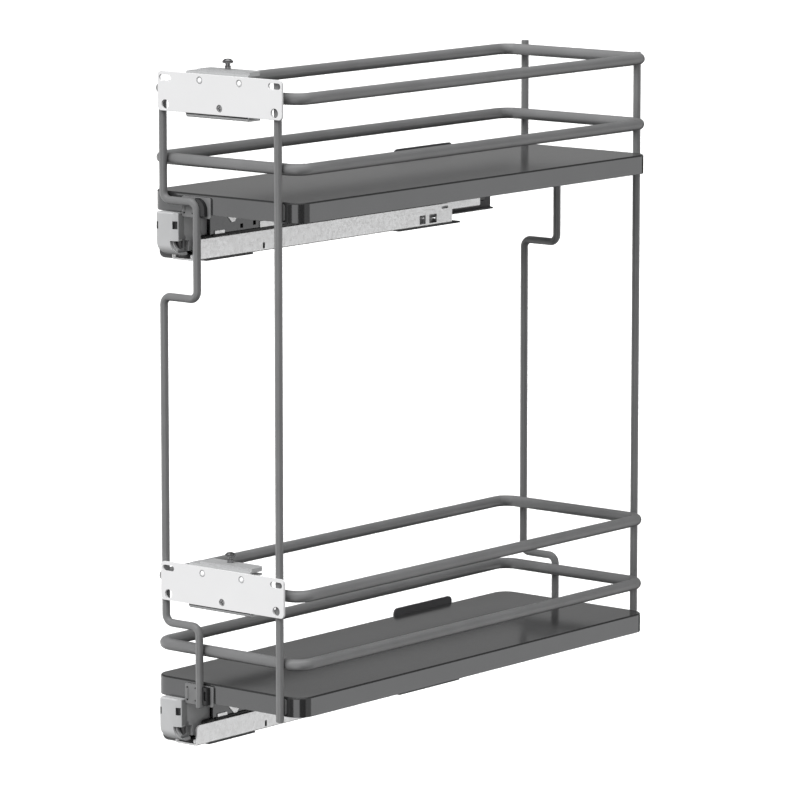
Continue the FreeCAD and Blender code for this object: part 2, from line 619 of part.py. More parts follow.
def make_pads(tier, upper):
    """Welded spacers between the right wires and the tray's sides."""
    left = "(basket_width - right_wire_inset - wire_dia / 2)"
    right = left + " + wire_dia"
    for name, start, stop in (("front", "0", "tray_inset"),
                              ("rear", "basket_depth - tray_inset", "basket_depth")):
        body = new_body("%s_%s_spacer" % (tier, name), upper)
        extrude(body, "Pad", "XZ_Plane", body.Label + "_block", start, stop,
                lambda sketch: rectangle(sketch, left, "sheet_steel", right,
                                         "tray_height - tray_bend", "clip_corner"))


def make_wall_bracket(tier, upper):
    """Folded wall bracket: a long plate on the wall, a raised rear ear and two feet."""
    body = new_body(tier + "_wall_bracket", upper)
    low = "(-rail_drop - sheet_steel)"
    floor = "(-rail_drop)"
    face = "(sheet_steel - wall_gap)"
    rear = "(bracket_front + bracket_length)"
    widest = "(foot_rear_width - wall_gap)"
    corners = [(WALL, low), (widest, low), (widest, floor), (face, floor),
               (face, "ear_top"), (WALL, "ear_top")]
    inner_bend = "(bracket_bend - sheet_steel)"
    extrude(body, "Pad", "XZ_Plane", body.Label + "_fold", "bracket_front", rear,
            lambda sketch: chain(sketch, corners, ["bracket_bend", None, None, inner_bend, None, None]))
    above = "(ear_top + spare)"
    shoulder = "(-bracket_top)"
    ear_rear = "(ear_front + ear_length)"
    before = "(bracket_front - spare)"
    behind = "(%s + spare)" % rear
    plate_side = WALL + " - spare"
    plate_face = face + " + spare"
    extrude(body, "Pocket", "YZ_Plane", body.Label + "_front_shoulder", plate_side, plate_face,
            lambda sketch: chain(sketch, [(before, shoulder), ("ear_front", shoulder),
                                          ("ear_front", above), (before, above)],
                                 [None, "bracket_corner", None, None]))
    extrude(body, "Pocket", "YZ_Plane", body.Label + "_rear_shoulder", plate_side, plate_face,
            lambda sketch: chain(sketch, [(ear_rear, shoulder), (behind, shoulder),
                                          (behind, above), (ear_rear, above)],
                                 ["bracket_corner", None, None, None]))
    extrude(body, "Pocket", "YZ_Plane", body.Label + "_waist", plate_side, plate_face,
            lambda sketch: chain(sketch, [("waist_front", "-waist_drop"), ("waist_rear", "-waist_drop"),
                                          ("waist_rear", above), ("waist_front", above)],
                                 ["bracket_corner", "bracket_corner", None, None]))
    narrow = "(bracket_flange - wall_gap)"
    tail = "(bracket_tail - wall_gap)"
    wide = "(foot_front_width - wall_gap)"
    under = low + " - spare"
    over = floor + " + sheet_steel / 2"
    beyond = widest + " + spare"
    front_end = "(foot_front + foot_front_length)"
    rear_end = "(foot_rear + foot_rear_length)"
    extrude(body, "Pocket", "XY_Plane", body.Label + "_front_trim", under, over,
            lambda sketch: rectangle(sketch, narrow, before, beyond, "foot_front"))
    extrude(body, "Pocket", "XY_Plane", body.Label + "_middle_trim", under, over,
            lambda sketch: rectangle(sketch, narrow, front_end, beyond, "foot_rear"))
    if size("foot_rear_width - foot_front_width") > 0:
        extrude(body, "Pocket", "XY_Plane", body.Label + "_front_foot_trim", under, over,
                lambda sketch: rectangle(sketch, wide, before, beyond, front_end))
    extrude(body, "Pocket", "XY_Plane", body.Label + "_rear_trim", under, over,
            lambda sketch: chain(sketch, [(tail, rear_end), (beyond, rear_end), (beyond, behind),
                                          (tail, behind)],
                                 ["bracket_tail - wall_gap / 2", None, None, None]))
    dress(body, "Fillet", body.Label + "_corners", "bracket_corner", X_WAY,
          [{"y": size("ear_front"), "z": size("ear_top")}, {"y": size(ear_rear), "z": size("ear_top")},
           {"y": size("bracket_front"), "z": size(shoulder)}, {"y": size(rear), "z": size(shoulder)}])

    def holes(sketch):
        for sign in (-1, 1):
            ring(sketch, "mount_setback + (%d) * screw_spacing / 2" % sign, "-tray_lift", "screw_hole")
        ring(sketch, "ear_front + ear_screw_inset", "ear_top - ear_screw_drop", "screw_hole")
        ring(sketch, ear_rear + " - ear_screw_inset", "ear_top - ear_screw_drop", "screw_hole")
    extrude(body, "Pocket", "YZ_Plane", body.Label + "_screw_holes", plate_side, plate_face, holes)


def make_cabinet_rail(tier, upper):
    """Galvanised channel rail with a low lip on the wall side and a tall inboard wall."""
    body = new_body(tier + "_cabinet_rail", upper)
    low = "(-rail_drop)"
    side_top = "(rail_side - rail_drop)"
    lip_top = "(rail_lip - rail_drop)"
    rear = "(rail_front + rail_length)"
    inner = "(rail_bend - sheet_steel)"
    corners = [(RAIL_LEFT, low), (RAIL_RIGHT, low), (RAIL_RIGHT, side_top),
               (RAIL_RIGHT + " - sheet_steel", side_top), (RAIL_RIGHT + " - sheet_steel", RAIL_FLOOR),
               (RAIL_LEFT + " + sheet_steel", RAIL_FLOOR), (RAIL_LEFT + " + sheet_steel", lip_top),
               (RAIL_LEFT, lip_top)]
    bends = ["rail_bend", "rail_bend", None, None, inner, inner, None, None]
    extrude(body, "Pad", "XZ_Plane", body.Label + "_channel", "rail_front", rear,
            lambda sketch: chain(sketch, corners, bends))
    dress(body, "Fillet", body.Label + "_nose", "rail_nose", X_WAY,
          [{"y": size("rail_front"), "z": size(side_top)}, {"y": size(rear), "z": size(side_top)}])
    low_port = RAIL_FLOOR + " + port_sill"
    high_port = RAIL_FLOOR + " + port_sill + port_height"

    def ports(sketch):
        for name in ("port_first", "port_second"):
            start = "(%s - %s)" % (rear, name)
            rectangle(sketch, start, low_port, "%s + %s_length" % (start, name), high_port, "port_sill")
        mark = "(rail_front + mark_front)"
        rectangle(sketch, mark, low_port, mark + " + mark_width", low_port + " + mark_height", "port_sill")
        slot(sketch, rear + " - tail_slot_inset", side_top + " - tail_slot_drop", "tail_slot_length",
             "tail_slot_width")
    extrude(body, "Pocket", "YZ_Plane", body.Label + "_ports", RAIL_RIGHT + " - sheet_steel - spare / 2",
            RAIL_RIGHT + " + spare", ports)


def make_soft_close(tier, upper):
    """Soft-close housing beside the cabinet rail, its slider and the pin that drives it."""
    body = new_body(tier + "_soft_close_housing", upper)
    left = "damper_inset"
    right = "(damper_inset + damper_width)"
    top = "(damper_height - rail_drop)"
    foot = "(rail_inset - side_play)"
    foot_top = "(damper_foot - rail_drop)"
    rear = "(damper_front + damper_length)"
    extrude(body, "Pad", "XZ_Plane", body.Label + "_body", "damper_front", rear,
            lambda sketch: chain(sketch, [(left, "-rail_drop"), (foot, "-rail_drop"), (foot, foot_top),
                                          (right, foot_top), (right, top), (left, top)],
                                 ["damper_round", None, None, None, "side_play", "sheet_steel"]))
    centre = "(damper_inset + damper_width / 2)"
    slot_left = centre + " - slider_width / 2 - fit_gap"
    slot_right = centre + " + slider_width / 2 + fit_gap"
    slot_front = "(pin_setback - slider_length / 2 - slider_travel - slot_spare)"
    slot_rear = "(pin_setback + slider_length / 2 + slot_spare)"
    extrude(body, "Pocket", "XY_Plane", body.Label + "_slot", top + " - slider_depth", top + " + spare",
            lambda sketch: rectangle(sketch, slot_left, slot_front, slot_right, slot_rear))
    dress(body, "Fillet", body.Label + "_front_round", "damper_round - sheet_steel", Z_WAY,
          [{"x": size(left), "y": size("damper_front")}])
    slider = new_body(tier + "_soft_close_slider", upper)
    crest = "(-pin_drop - pin_dia / 2 - fit_gap)"
    front = "(pin_setback - slider_length / 2)"
    tail = "(pin_setback + slider_length / 2)"
    base = top + " - slider_depth + fit_gap"
    dip = crest + " - slider_dip"
    outline = [(front, base), (tail, base), (tail, crest), ("pin_setback + pin_dia", crest),
               ("pin_setback + pin_dia / 2", dip), ("pin_setback - pin_dia / 2", dip),
               ("pin_setback - pin_dia", crest), (front + " + slider_ramp", crest),
               (front, crest + " - slider_ramp")]
    extrude(slider, "Pad", "YZ_Plane", slider.Label + "_block", centre + " - slider_width / 2",
            centre + " + slider_width / 2", lambda sketch: polygon(sketch, outline))
    pin = new_body(tier + "_drive_pin", upper)
    carrier_left = "(%s - %s)" % (RAIL_MIDDLE, DRAWER_HALF)
    extrude(pin, "Pad", "YZ_Plane", pin.Label + "_rod", centre + " - slider_width / 2", carrier_left,
            lambda sketch: ring(sketch, "pin_setback", "-pin_drop", "pin_dia"))


def make_middle_rail(tier, upper):
    """Middle rail of the runner, a C open towards the inboard side."""
    body = new_body(tier + "_middle_rail", upper)
    left = "(%s - middle_width / 2)" % RAIL_MIDDLE
    right = "(%s + middle_width / 2)" % RAIL_MIDDLE
    web = left + " + sheet_steel"
    floor = MIDDLE_FLOOR + " + sheet_steel"
    ceiling = MIDDLE_TOP + " - sheet_steel"
    inner = "(rail_bend - sheet_steel)"
    corners = [(left, MIDDLE_FLOOR), (right, MIDDLE_FLOOR), (right, floor), (web, floor), (web, ceiling),
               (right, ceiling), (right, MIDDLE_TOP), (left, MIDDLE_TOP)]
    bends = ["rail_bend", None, None, inner, inner, None, None, "rail_bend"]
    extrude(body, "Pad", "XZ_Plane", body.Label + "_profile", "middle_front", MIDDLE_REAR,
            lambda sketch: chain(sketch, corners, bends))


def make_cage(tier, name, start, stop, level, upper):
    """Roller cage: a flat strip with a row of pockets, and a roller loose in each."""
    body = new_body(tier + "_" + name, upper)
    left = "(%s - cage_width / 2)" % RAIL_MIDDLE
    right = "(%s + cage_width / 2)" % RAIL_MIDDLE
    low = "%s - cage_thick / 2" % level
    high = "%s + cage_thick / 2" % level
    length = size("(%s) - (%s)" % (stop, start))
    count = int((length - size("roller_pitch") / 2) / size("roller_pitch")) + 1
    first = "(((%s) + (%s)) / 2 - %d * roller_pitch / 2)" % (start, stop, count - 1)
    extrude(body, "Pad", "XY_Plane", body.Label + "_strip", low, high,
            lambda sketch: rectangle(sketch, left, start, right, stop, "sheet_steel"))
    pocket_left = RAIL_MIDDLE + " - roller_length / 2 - fit_gap"
    pocket_right = RAIL_MIDDLE + " + roller_length / 2 + fit_gap"
    pocket_front = first + " - roller_dia / 2 - fit_gap"
    pocket_rear = first + " + roller_dia / 2 + fit_gap"
    pocket = extrude(body, "Pocket", "XY_Plane", body.Label + "_pocket", low + " - spare", high + " + spare",
                     lambda sketch: rectangle(sketch, pocket_left, pocket_front, pocket_right, pocket_rear))
    span = "%d * roller_pitch" % (count - 1)
    repeat(body, body.Label + "_pockets", [pocket], span, count)
    roller = extrude(body, "Pad", "YZ_Plane", body.Label + "_roller", RAIL_MIDDLE + " - roller_length / 2",
                     RAIL_MIDDLE + " + roller_length / 2",
                     lambda sketch: ring(sketch, first, level, "roller_dia"))
    repeat(body, body.Label + "_rollers", [roller], span, count)


def make_cages(tier, upper):
    """Two roller cages, placed to stay between their rails over the whole travel."""
    lower_level = "(%s + %s / 2)" % (RAIL_FLOOR, ROLLER_SPACE)
    upper_level = "(%s + %s / 2)" % (MIDDLE_TOP, ROLLER_SPACE)
    front = "(middle_front + travel / 4 + cage_reach)"
    outer_rear = "(%s - travel / 4 - cage_reach)" % MIDDLE_REAR
    inner_rear = "(%s - travel / 4 - cage_reach)" % DRAWER_REAR
    make_cage(tier, "outer_roller_cage", front, outer_rear, lower_level, upper)
    make_cage(tier, "inner_roller_cage", front, inner_rear, upper_level, upper)


def make_drawer_rail(tier, upper):
    """Drawer rail: an inverted channel with one inner lip, hooks for the carrier and an end cap."""
    body = new_body(tier + "_drawer_rail", upper)
    left = "(%s - %s)" % (RAIL_MIDDLE, DRAWER_HALF)
    right = "(%s + %s)" % (RAIL_MIDDLE, DRAWER_HALF)
    web_left = left + " + drawer_rail_wall"
    web_right = right + " - drawer_rail_wall"
    low = "(%s - drawer_rail_side)" % DRAWER_TOP
    lip_top = low + " + drawer_rail_wall"
    lip_left = web_right + " - drawer_rail_lip"
    corners = [(left, low), (web_left, low), (web_left, DRAWER_CEILING), (web_right, DRAWER_CEILING),
               (web_right, lip_top), (lip_left, lip_top), (lip_left, low), (right, low),
               (right, DRAWER_TOP), (left, DRAWER_TOP)]
    bends = [None, None, "side_play", "side_play", None, None, None, "rail_bend", "rail_bend", "rail_bend"]
    extrude(body, "Pad", "XZ_Plane", body.Label + "_profile", "middle_front", DRAWER_REAR,
            lambda sketch: chain(sketch, corners, bends))
    foot = DRAWER_TOP + " - hook_foot"
    for name, start in (("front", "middle_front"), ("rear", "hook_rear")):
        stop = "%s + hook_%s_length" % (start, name)
        top = "%s + hook_%s_rise" % (DRAWER_TOP, name)
        extrude(body, "Pad", "YZ_Plane", "%s_%s_hook" % (body.Label, name), right,
                right + " + hook_thick",
                lambda sketch: rectangle(sketch, start, foot, stop, top, "side_play"))
    cap = new_body(tier + "_rail_end_cap", upper)
    cap_low = MIDDLE_TOP + " + side_play"
    extrude(cap, "Pad", "XZ_Plane", cap.Label + "_block", DRAWER_REAR, DRAWER_REAR + " + cap_length",
            lambda sketch: rectangle(sketch, left, cap_low, right, DRAWER_TOP, "rail_bend"))
    extrude(cap, "Pad", "XZ_Plane", cap.Label + "_plug", DRAWER_REAR + " - cage_reach / 2", DRAWER_REAR,
            lambda sketch: rectangle(sketch, web_left + " + side_play", cap_low,
                                     web_right + " - side_play", DRAWER_CEILING))


def make_carrier(tier, upper):
    """Tray carrier: an inverted channel on the drawer rail that reaches up to the tray's sheet."""
    body = new_body(tier + "_tray_carrier", upper)
    left = "(%s - %s)" % (RAIL_MIDDLE, DRAWER_HALF)
    right = "(%s + %s)" % (RAIL_MIDDLE, DRAWER_HALF)
    web_left = left + " + sheet_steel"
    web_right = right + " - sheet_steel"
    ceiling = TRAY_SHEET + " - sheet_steel"
    rear = "(carrier_front + carrier_length)"
    inner = "(carrier_bend - sheet_steel)"
    corners = [(left, DRAWER_TOP), (web_left, DRAWER_TOP), (web_left, ceiling), (web_right, ceiling),
               (web_right, DRAWER_TOP), (right, DRAWER_TOP), (right, TRAY_SHEET), (left, TRAY_SHEET)]
    bends = [None, None, inner, inner, None, None, "carrier_bend", "carrier_bend"]
    extrude(body, "Pad", "XZ_Plane", body.Label + "_channel", "carrier_front", rear,
            lambda sketch: chain(sketch, corners, bends))
    notch_middle = "notch_front + notch_length / 2"
    extrude(body, "Pocket", "YZ_Plane", body.Label + "_notch", web_right + " - spare", right + " + spare",
            lambda sketch: polygon(sketch, [("notch_front", "sheet_steel"), (notch_middle, "-notch_depth"),
                                            ("notch_front + notch_length", "sheet_steel")]))
    extrude(body, "Pocket", "YZ_Plane", body.Label + "_relief", left + " - spare", web_left + " + spare",
            lambda sketch: rectangle(sketch, "relief_front", "-relief_depth",
                                     "relief_front + relief_length", "sheet_steel", "carrier_bend"))

    def square_holes(sketch):
        for name in ("square_front", "square_rear"):
            low = "(-%s_drop - square_hole / 2)" % name
            rectangle(sketch, name, low, name + " + square_hole", low + " + square_hole")
    extrude(body, "Pocket", "YZ_Plane", body.Label + "_square_holes", web_right + " - spare",
            right + " + spare", square_holes)


def quarter(sketch, radius):
    """A quarter disc below the lever's top edge, with its centre at the housing's corner."""
    r = size(radius)
    cx = size(LEVER_CENTRE)
    cz = size("-lever_rise")
    centre = Vector(cx, cz, 0)
    level = sketch.addGeometry(Part.LineSegment(centre, Vector(cx - r, cz, 0)), False)
    arc_circle = Part.Circle(centre, Vector(0, 0, 1), r)
    arc = sketch.addGeometry(Part.ArcOfCircle(arc_circle, math.pi, 3 * math.pi / 2), False)
    upright = sketch.addGeometry(Part.LineSegment(Vector(cx, cz - r, 0), centre), False)
    join(sketch, "Coincident", level, 2, arc, 1)
    join(sketch, "Coincident", arc, 2, upright, 1)
    join(sketch, "Coincident", upright, 2, level, 1)
    join(sketch, "Coincident", arc, 3, level, 1)
    join(sketch, "Horizontal", level)
    join(sketch, "Vertical", upright)
    tie(sketch, "DistanceX", LEVER_CENTRE, -1, 1, arc, 3)
    tie(sketch, "DistanceY", "-lever_rise", -1, 1, arc, 3)
    tie(sketch, "Radius", radius, arc)


def make_catch(tier, upper):
    """Moulded catch at the front of the tray, with its thumb lever."""
    body = new_body(tier + "_catch_housing", upper)
    front = "(-catch_front)"
    step = "(rail_front - 1)"
    heel = "(-catch_heel)"
    low = "(-catch_height)"
    extrude(body, "Pad", "YZ_Plane", body.Label + "_moulding", "catch_inset", CATCH_RIGHT,
            lambda sketch: chain(sketch, [(front, low), (step, low), (step, heel), ("catch_rear", heel),
                                          ("catch_rear", "0"), (front, "0")],
                                 ["catch_round", "side_play", None, "catch_round", None, "sheet_steel"]))
    inside = "(tray_inset + sheet_steel + fit_gap)"
    extrude(body, "Pad", "XY_Plane", body.Label + "_neck", "0", TRAY_SHEET,
            lambda sketch: rectangle(sketch, "catch_inset", inside, CATCH_RIGHT, "catch_rear"))
    bevel_foot = front + " + catch_bevel_depth"
    bevel_front = front + " - catch_bevel_depth"
    bevel_left = CATCH_RIGHT + " - 2 * catch_bevel"
    bevel_right = CATCH_RIGHT + " + catch_bevel"
    extrude(body, "Pocket", "XY_Plane", body.Label + "_bevel", low + " - spare", "spare",
            lambda sketch: polygon(sketch, [(bevel_left, bevel_front), (bevel_right, bevel_front),
                                            (bevel_right, bevel_foot + " + catch_bevel_depth")]))
    extrude(body, "Pocket", "XZ_Plane", body.Label + "_scoop", front + " - spare", "scoop_depth",
            lambda sketch: quarter(sketch, "(lever_radius + lever_room)"))
    lever_left = "(%s - lever_radius + side_play)" % LEVER_CENTRE
    beyond = CATCH_RIGHT + " + spare"
    extrude(body, "Pocket", "YZ_Plane", body.Label + "_pivot_bore", lever_left + " - fit_gap", beyond,
            lambda sketch: ring(sketch, LEVER_PIVOT_Y, LEVER_PIVOT_Z, "lever_pin + 2 * screw_play"))
    arm_half = "(lever_pin / 2 + arm_play)"
    extrude(body, "Pocket", "YZ_Plane", body.Label + "_arm_room",
            "(%s - lever_radius - fit_gap)" % LEVER_CENTRE, beyond,
            lambda sketch: rectangle(sketch, "%s - %s" % (LEVER_PIVOT_Y, arm_half), "-lever_rise - spare / 2",
                                     "%s + %s" % (LEVER_PIVOT_Y, arm_half), LEVER_PIVOT_Z))
    extrude(body, "Pocket", "XZ_Plane", body.Label + "_window", bevel_front, bevel_foot + " + window_depth",
            lambda sketch: rectangle(sketch, CATCH_RIGHT + " - catch_bevel + fit_gap",
                                     "-window_drop - window_height", CATCH_RIGHT + " - 2 * fit_gap",
                                     "-window_drop"))
    lever = new_body(tier + "_release_lever", upper)
    cup_rear = "(lever_pin - lever_wall / 2)"
    extrude(lever, "Pad", "XZ_Plane", lever.Label + "_back", cup_rear, "(lever_pin + lever_wall / 2)",
            lambda sketch: quarter(sketch, "lever_radius"))
    extrude(lever, "Pad", "XZ_Plane", lever.Label + "_cup", front + " + lever_setback", cup_rear,
            lambda sketch: quarter(sketch, "lever_radius"))
    extrude(lever, "Pocket", "XZ_Plane", lever.Label + "_cup_hollow", front, cup_rear,
            lambda sketch: quarter(sketch, "(lever_radius - lever_wall)"))
    extrude(lever, "Pocket", "YZ_Plane", lever.Label + "_flush", LEVER_SIDE, LEVER_CENTRE + " + spare",
            lambda sketch: rectangle(sketch, front + " - spare", low + " - spare",
                                     "lever_pin + lever_wall + spare", "-lever_rise + spare"))
    extrude(lever, "Pad", "YZ_Plane", lever.Label + "_arm", lever_left, LEVER_SIDE,
            lambda sketch: rectangle(sketch, LEVER_PIVOT_Y + " - lever_wall / 2", "-lever_rise - lever_wall",
                                     LEVER_PIVOT_Y + " + lever_wall / 2", LEVER_PIVOT_Z))
    extrude(lever, "Pad", "YZ_Plane", lever.Label + "_barrel", lever_left, LEVER_SIDE,
            lambda sketch: ring(sketch, LEVER_PIVOT_Y, LEVER_PIVOT_Z, "lever_pin"))


def make_ring_holder(tier, upper):
    """Holder welded to the top ring: a C round the tube with two cheeks it passes through."""
    body = new_body(tier + "_ring_holder", upper)
    left = "(carriage_inset + holder_margin)"
    right = "(carriage_inset + carriage_width - holder_margin)"
    low = "(top_ring_rise - holder_half)"
    high = "(top_ring_rise + holder_half)"
    wall = "sheet_steel"
    inner = "(bracket_bend - sheet_steel)"
    corners = [(HOLDER_FRONT, low), ("carriage_reach", low), ("carriage_reach", low + " + " + wall),
               (HOLDER_FRONT + " + " + wall, low + " + " + wall),
               (HOLDER_FRONT + " + " + wall, high + " - " + wall),
               ("carriage_reach", high + " - " + wall), ("carriage_reach", high), (HOLDER_FRONT, high)]
    bends = ["bracket_bend", None, None, inner, inner, None, None, "bracket_bend"]
    extrude(body, "Pad", "YZ_Plane", body.Label + "_fold", left, right,
            lambda sketch: chain(sketch, corners, bends))

    def cheek(sketch):
        rectangle(sketch, HOLDER_FRONT + " + sheet_steel / 2", low + " + sheet_steel / 2",
                  "carriage_reach - side_play", high + " - sheet_steel / 2")
        ring(sketch, "ring_tube / 2", "top_ring_rise", "ring_tube + 2 * screw_play")
    right_cheek = right + " - cheek_inset - sheet_steel"
    for name, start in (("left_cheek", left + " + cheek_inset"), ("right_cheek", right_cheek)):
        extrude(body, "Pad", "YZ_Plane", body.Label + "_" + name, start, start + " + sheet_steel", cheek)
    extrude(body, "Pocket", "XY_Plane", body.Label + "_journal_hole", high + " - spare", high + " + spare",
            lambda sketch: ring(sketch, "height_screw_inset", "height_screw_back",
                                "height_screw_neck + 2 * screw_play"))


def make_carriage(tier, upper):
    """Door carriage: an outer C that rises and falls on the height screw, with its nut plate."""
    body = new_body(tier + "_door_carriage", upper)
    left = "carriage_inset"
    right = "(carriage_inset + carriage_width)"
    low = "(top_ring_rise - carriage_half)"
    high = "(top_ring_rise + carriage_half)"
    wall = "sheet_steel"
    inner = "(bracket_bend - sheet_steel)"
    corners = [(PLATE_BACK, low), ("carriage_reach", low), ("carriage_reach", low + " + " + wall),
               (PLATE_BACK + " + " + wall, low + " + " + wall),
               (PLATE_BACK + " + " + wall, high + " - " + wall),
               ("carriage_reach", high + " - " + wall), ("carriage_reach", high), (PLATE_BACK, high)]
    bends = ["bracket_bend", None, None, inner, inner, None, None, "bracket_bend"]
    extrude(body, "Pad", "YZ_Plane", body.Label + "_fold", left, right,
            lambda sketch: chain(sketch, corners, bends))
    nut_left = "(carriage_inset + nut_plate_inset)"
    nut_front = PLATE_BACK + " + bracket_bend"
    extrude(body, "Pad", "XY_Plane", body.Label + "_nut_plate", high, high + " + nut_plate_thick",
            lambda sketch: rectangle(sketch, nut_left, nut_front, right, "carriage_reach"))
    extrude(body, "Pocket", "XY_Plane", body.Label + "_thread_bore", high + " - spare",
            high + " + nut_plate_thick + spare",
            lambda sketch: ring(sketch, "height_screw_inset", "height_screw_back",
                                "height_screw_dia + 2 * screw_play"))
    rise = "top_ring_rise + plate_hole_rise"

    def bosses(sketch):
        for sign in (-1, 1):
            ring(sketch, "plate_centre + (%d) * boss_reach" % sign, rise, "boss_dia - 2 * screw_play")
    extrude(body, "Pad", "XZ_Plane", body.Label + "_bosses", PLATE_FACE + " + fit_gap", PLATE_BACK, bosses)

    def bores(sketch):
        for sign in (-1, 1):
            ring(sketch, "plate_centre + (%d) * boss_reach" % sign, rise, "boss_bore")
        ring(sketch, "plate_centre", "top_ring_rise - plate_hole_rise", "clamp_screw_dia")
    extrude(body, "Pocket", "XZ_Plane", body.Label + "_bores", PLATE_FACE + " - spare",
            PLATE_BACK + " + sheet_steel + screw_play", bores)
    dress(body, "Fillet", body.Label + "_corners", "carriage_corner", Z_WAY,
          [{"x": size(left), "y": size("carriage_reach")}, {"x": size(right), "y": size("carriage_reach")}])


def make_door_plate(tier, upper):
    """Door plate with slots and holes for the front panel's screws, and its clamp screw."""
    body = new_body(tier + "_door_plate", upper)
    left = "(plate_centre - plate_width / 2)"
    right = "(plate_centre + plate_width / 2)"
    low = "(top_ring_rise - plate_height / 2)"
    high = "(top_ring_rise + plate_height / 2)"
    extrude(body, "Pad", "XZ_Plane", body.Label + "_blank", PLATE_FACE, PLATE_BACK,
            lambda sketch: rectangle(sketch, left, low, right, high, "plate_corner"))
    upper_row = "top_ring_rise + plate_hole_rise"
    lower_row = "top_ring_rise - plate_hole_rise"

    def holes(sketch):
        for sign in (-1, 1):
            outer = "plate_centre + (%d) * plate_hole_reach" % sign
            slot(sketch, outer, upper_row, "plate_slot_length", "plate_slot_width")
            ring(sketch, outer, lower_row, "plate_corner_hole")
            ring(sketch, "plate_centre + (%d) * boss_reach" % sign, upper_row, "boss_dia")
        ring(sketch, "plate_centre", lower_row, "boss_dia")
    extrude(body, "Pocket", "XZ_Plane", body.Label + "_holes", PLATE_FACE + " - spare",
            PLATE_BACK + " + spare", holes)
    clamp = new_body(tier + "_clamp_screw", upper)
    extrude(clamp, "Pad", "XZ_Plane", clamp.Label + "_head", PLATE_BACK + " - clamp_head_thick", PLATE_BACK,
            lambda sketch: ring(sketch, "plate_centre", lower_row, "clamp_head_dia"))
    extrude(clamp, "Pad", "XZ_Plane", clamp.Label + "_shank", PLATE_BACK, PLATE_BACK + " + sheet_steel",
            lambda sketch: ring(sketch, "plate_centre", lower_row, "clamp_screw_dia"))
    cross = cross_corners("plate_centre", lower_row, "clamp_head_dia / 3", "clamp_cross")
    extrude(clamp, "Pocket", "XZ_Plane", clamp.Label + "_recess", PLATE_BACK + " - clamp_head_thick - spare",
            PLATE_BACK + " - clamp_head_thick / 2",
            lambda sketch: chain(sketch, cross))


def cross_corners(x, y, half, arm):
    """Corners of a plus-shaped driver recess round a centre."""
    steps = [("-", half, "-", arm), ("-", arm, "-", arm), ("-", arm, "-", half), ("+", arm, "-", half),
             ("+", arm, "-", arm), ("+", half, "-", arm), ("+", half, "+", arm), ("+", arm, "+", arm),
             ("+", arm, "+", half), ("-", arm, "+", half), ("-", arm, "+", arm), ("-", half, "+", arm)]
    return [("%s %s %s" % (x, sx, dx), "%s %s %s" % (y, sy, dy)) for sx, dx, sy, dy in steps]


def make_height_screw(tier, upper):
    """Height screw: collar and journal in the holder, thread in the nut plate, driver head."""
    body = new_body(tier + "_height_screw", upper)
    sketch = new_sketch(body, body.Label + "_turning", "XZ_Plane", "height_screw_back")
    sketch.setExpression("AttachmentOffset.Base.x", bound("height_screw_inset"))
    collar_top = "(top_ring_rise + holder_half - sheet_steel - fit_gap)"
    collar_low = collar_top + " - collar_height"
    shoulder = "(top_ring_rise + holder_half + fit_gap)"
    head_top = "(top_ring_rise + height_head_rise)"
    head_low = "(top_ring_rise + height_head_rise - height_head_thick)"
    thread_top = "(top_ring_rise + carriage_half + nut_plate_thick + height_travel + fit_gap)"
    collar = "height_screw_dia / 2 + collar_step"
    neck = "height_screw_neck / 2"
    thread = "height_screw_dia / 2"
    head = "height_screw_head / 2"
    polygon(sketch, [("0", collar_low), (collar, collar_low), (collar, collar_top), (neck, collar_top),
                     (neck, shoulder), (thread, shoulder), (thread, thread_top),
                     (neck, thread_top + " + side_play"), (neck, head_low),
                     (head + " - head_edge", head_low), (head, head_low + " + head_edge"),
                     (head + " - head_edge / 2", head_low + " + 2.5 * head_edge"),
                     (head + " / 2", head_top), ("0", head_top)])
    turned = body.newObject("PartDesign::Revolution", body.Label + "_turned")
    turned.Profile = sketch
    turned.ReferenceAxis = (sketch, ["V_Axis"])
    turned.Angle = 360.0
    cross = cross_corners("height_screw_inset", "height_screw_back", "height_screw_head / 4", "head_cross")
    extrude(body, "Pocket", "XY_Plane", body.Label + "_recess", head_top + " - head_recess",
            head_top + " + spare", lambda target: chain(target, cross))


def make_tier(tier, upper):
    """Every piece that a tier has, lower or upper."""
    make_wall_bracket(tier, upper)
    make_cabinet_rail(tier, upper)
    make_soft_close(tier, upper)
    make_middle_rail(tier, upper)
    make_cages(tier, upper)
    make_drawer_rail(tier, upper)
    make_carrier(tier, upper)
    make_catch(tier, upper)
    make_tray(tier, upper)
    make_ring(tier, "middle_ring", "middle_ring_rise", upper)
    make_ring(tier, "top_ring", "top_ring_rise", upper)
    make_clips(tier, upper)
    make_saddle(tier, upper)
    make_pads(tier, upper)
    make_ring_holder(tier, upper)
    make_carriage(tier, upper)
    make_door_plate(tier, upper)
    make_height_screw(tier, upper)


make_tier("lower", False)
make_tier("upper", True)
make_wires()
doc.recompute()

# Every object has to be sound and every pocket has to remove material before anything is written
faults = []
for item in doc.Objects:
    if any(state in ("Invalid", "Error") for state in item.State):
        faults.append("%s is %s" % (item.Name, item.State))
    if item.TypeId == "PartDesign::Pocket" and item.BaseFeature is not None:
        if item.Shape.Volume >= item.BaseFeature.Shape.Volume - 0.01:
            faults.append(item.Name + " removes nothing")
for piece in PIECES:
    if piece.Shape.isNull() or not piece.Shape.isValid() or piece.Shape.Volume <= 0:
        faults.append(piece.Label + " has no sound shape")
if faults:
    raise RuntimeError("; ".join(faults))

os.makedirs("parts", exist_ok=True)
for piece in PIECES:
    piece.Shape.exportStep("parts/%s.step" % piece.Label)
print("pieces written:", len(PIECES))
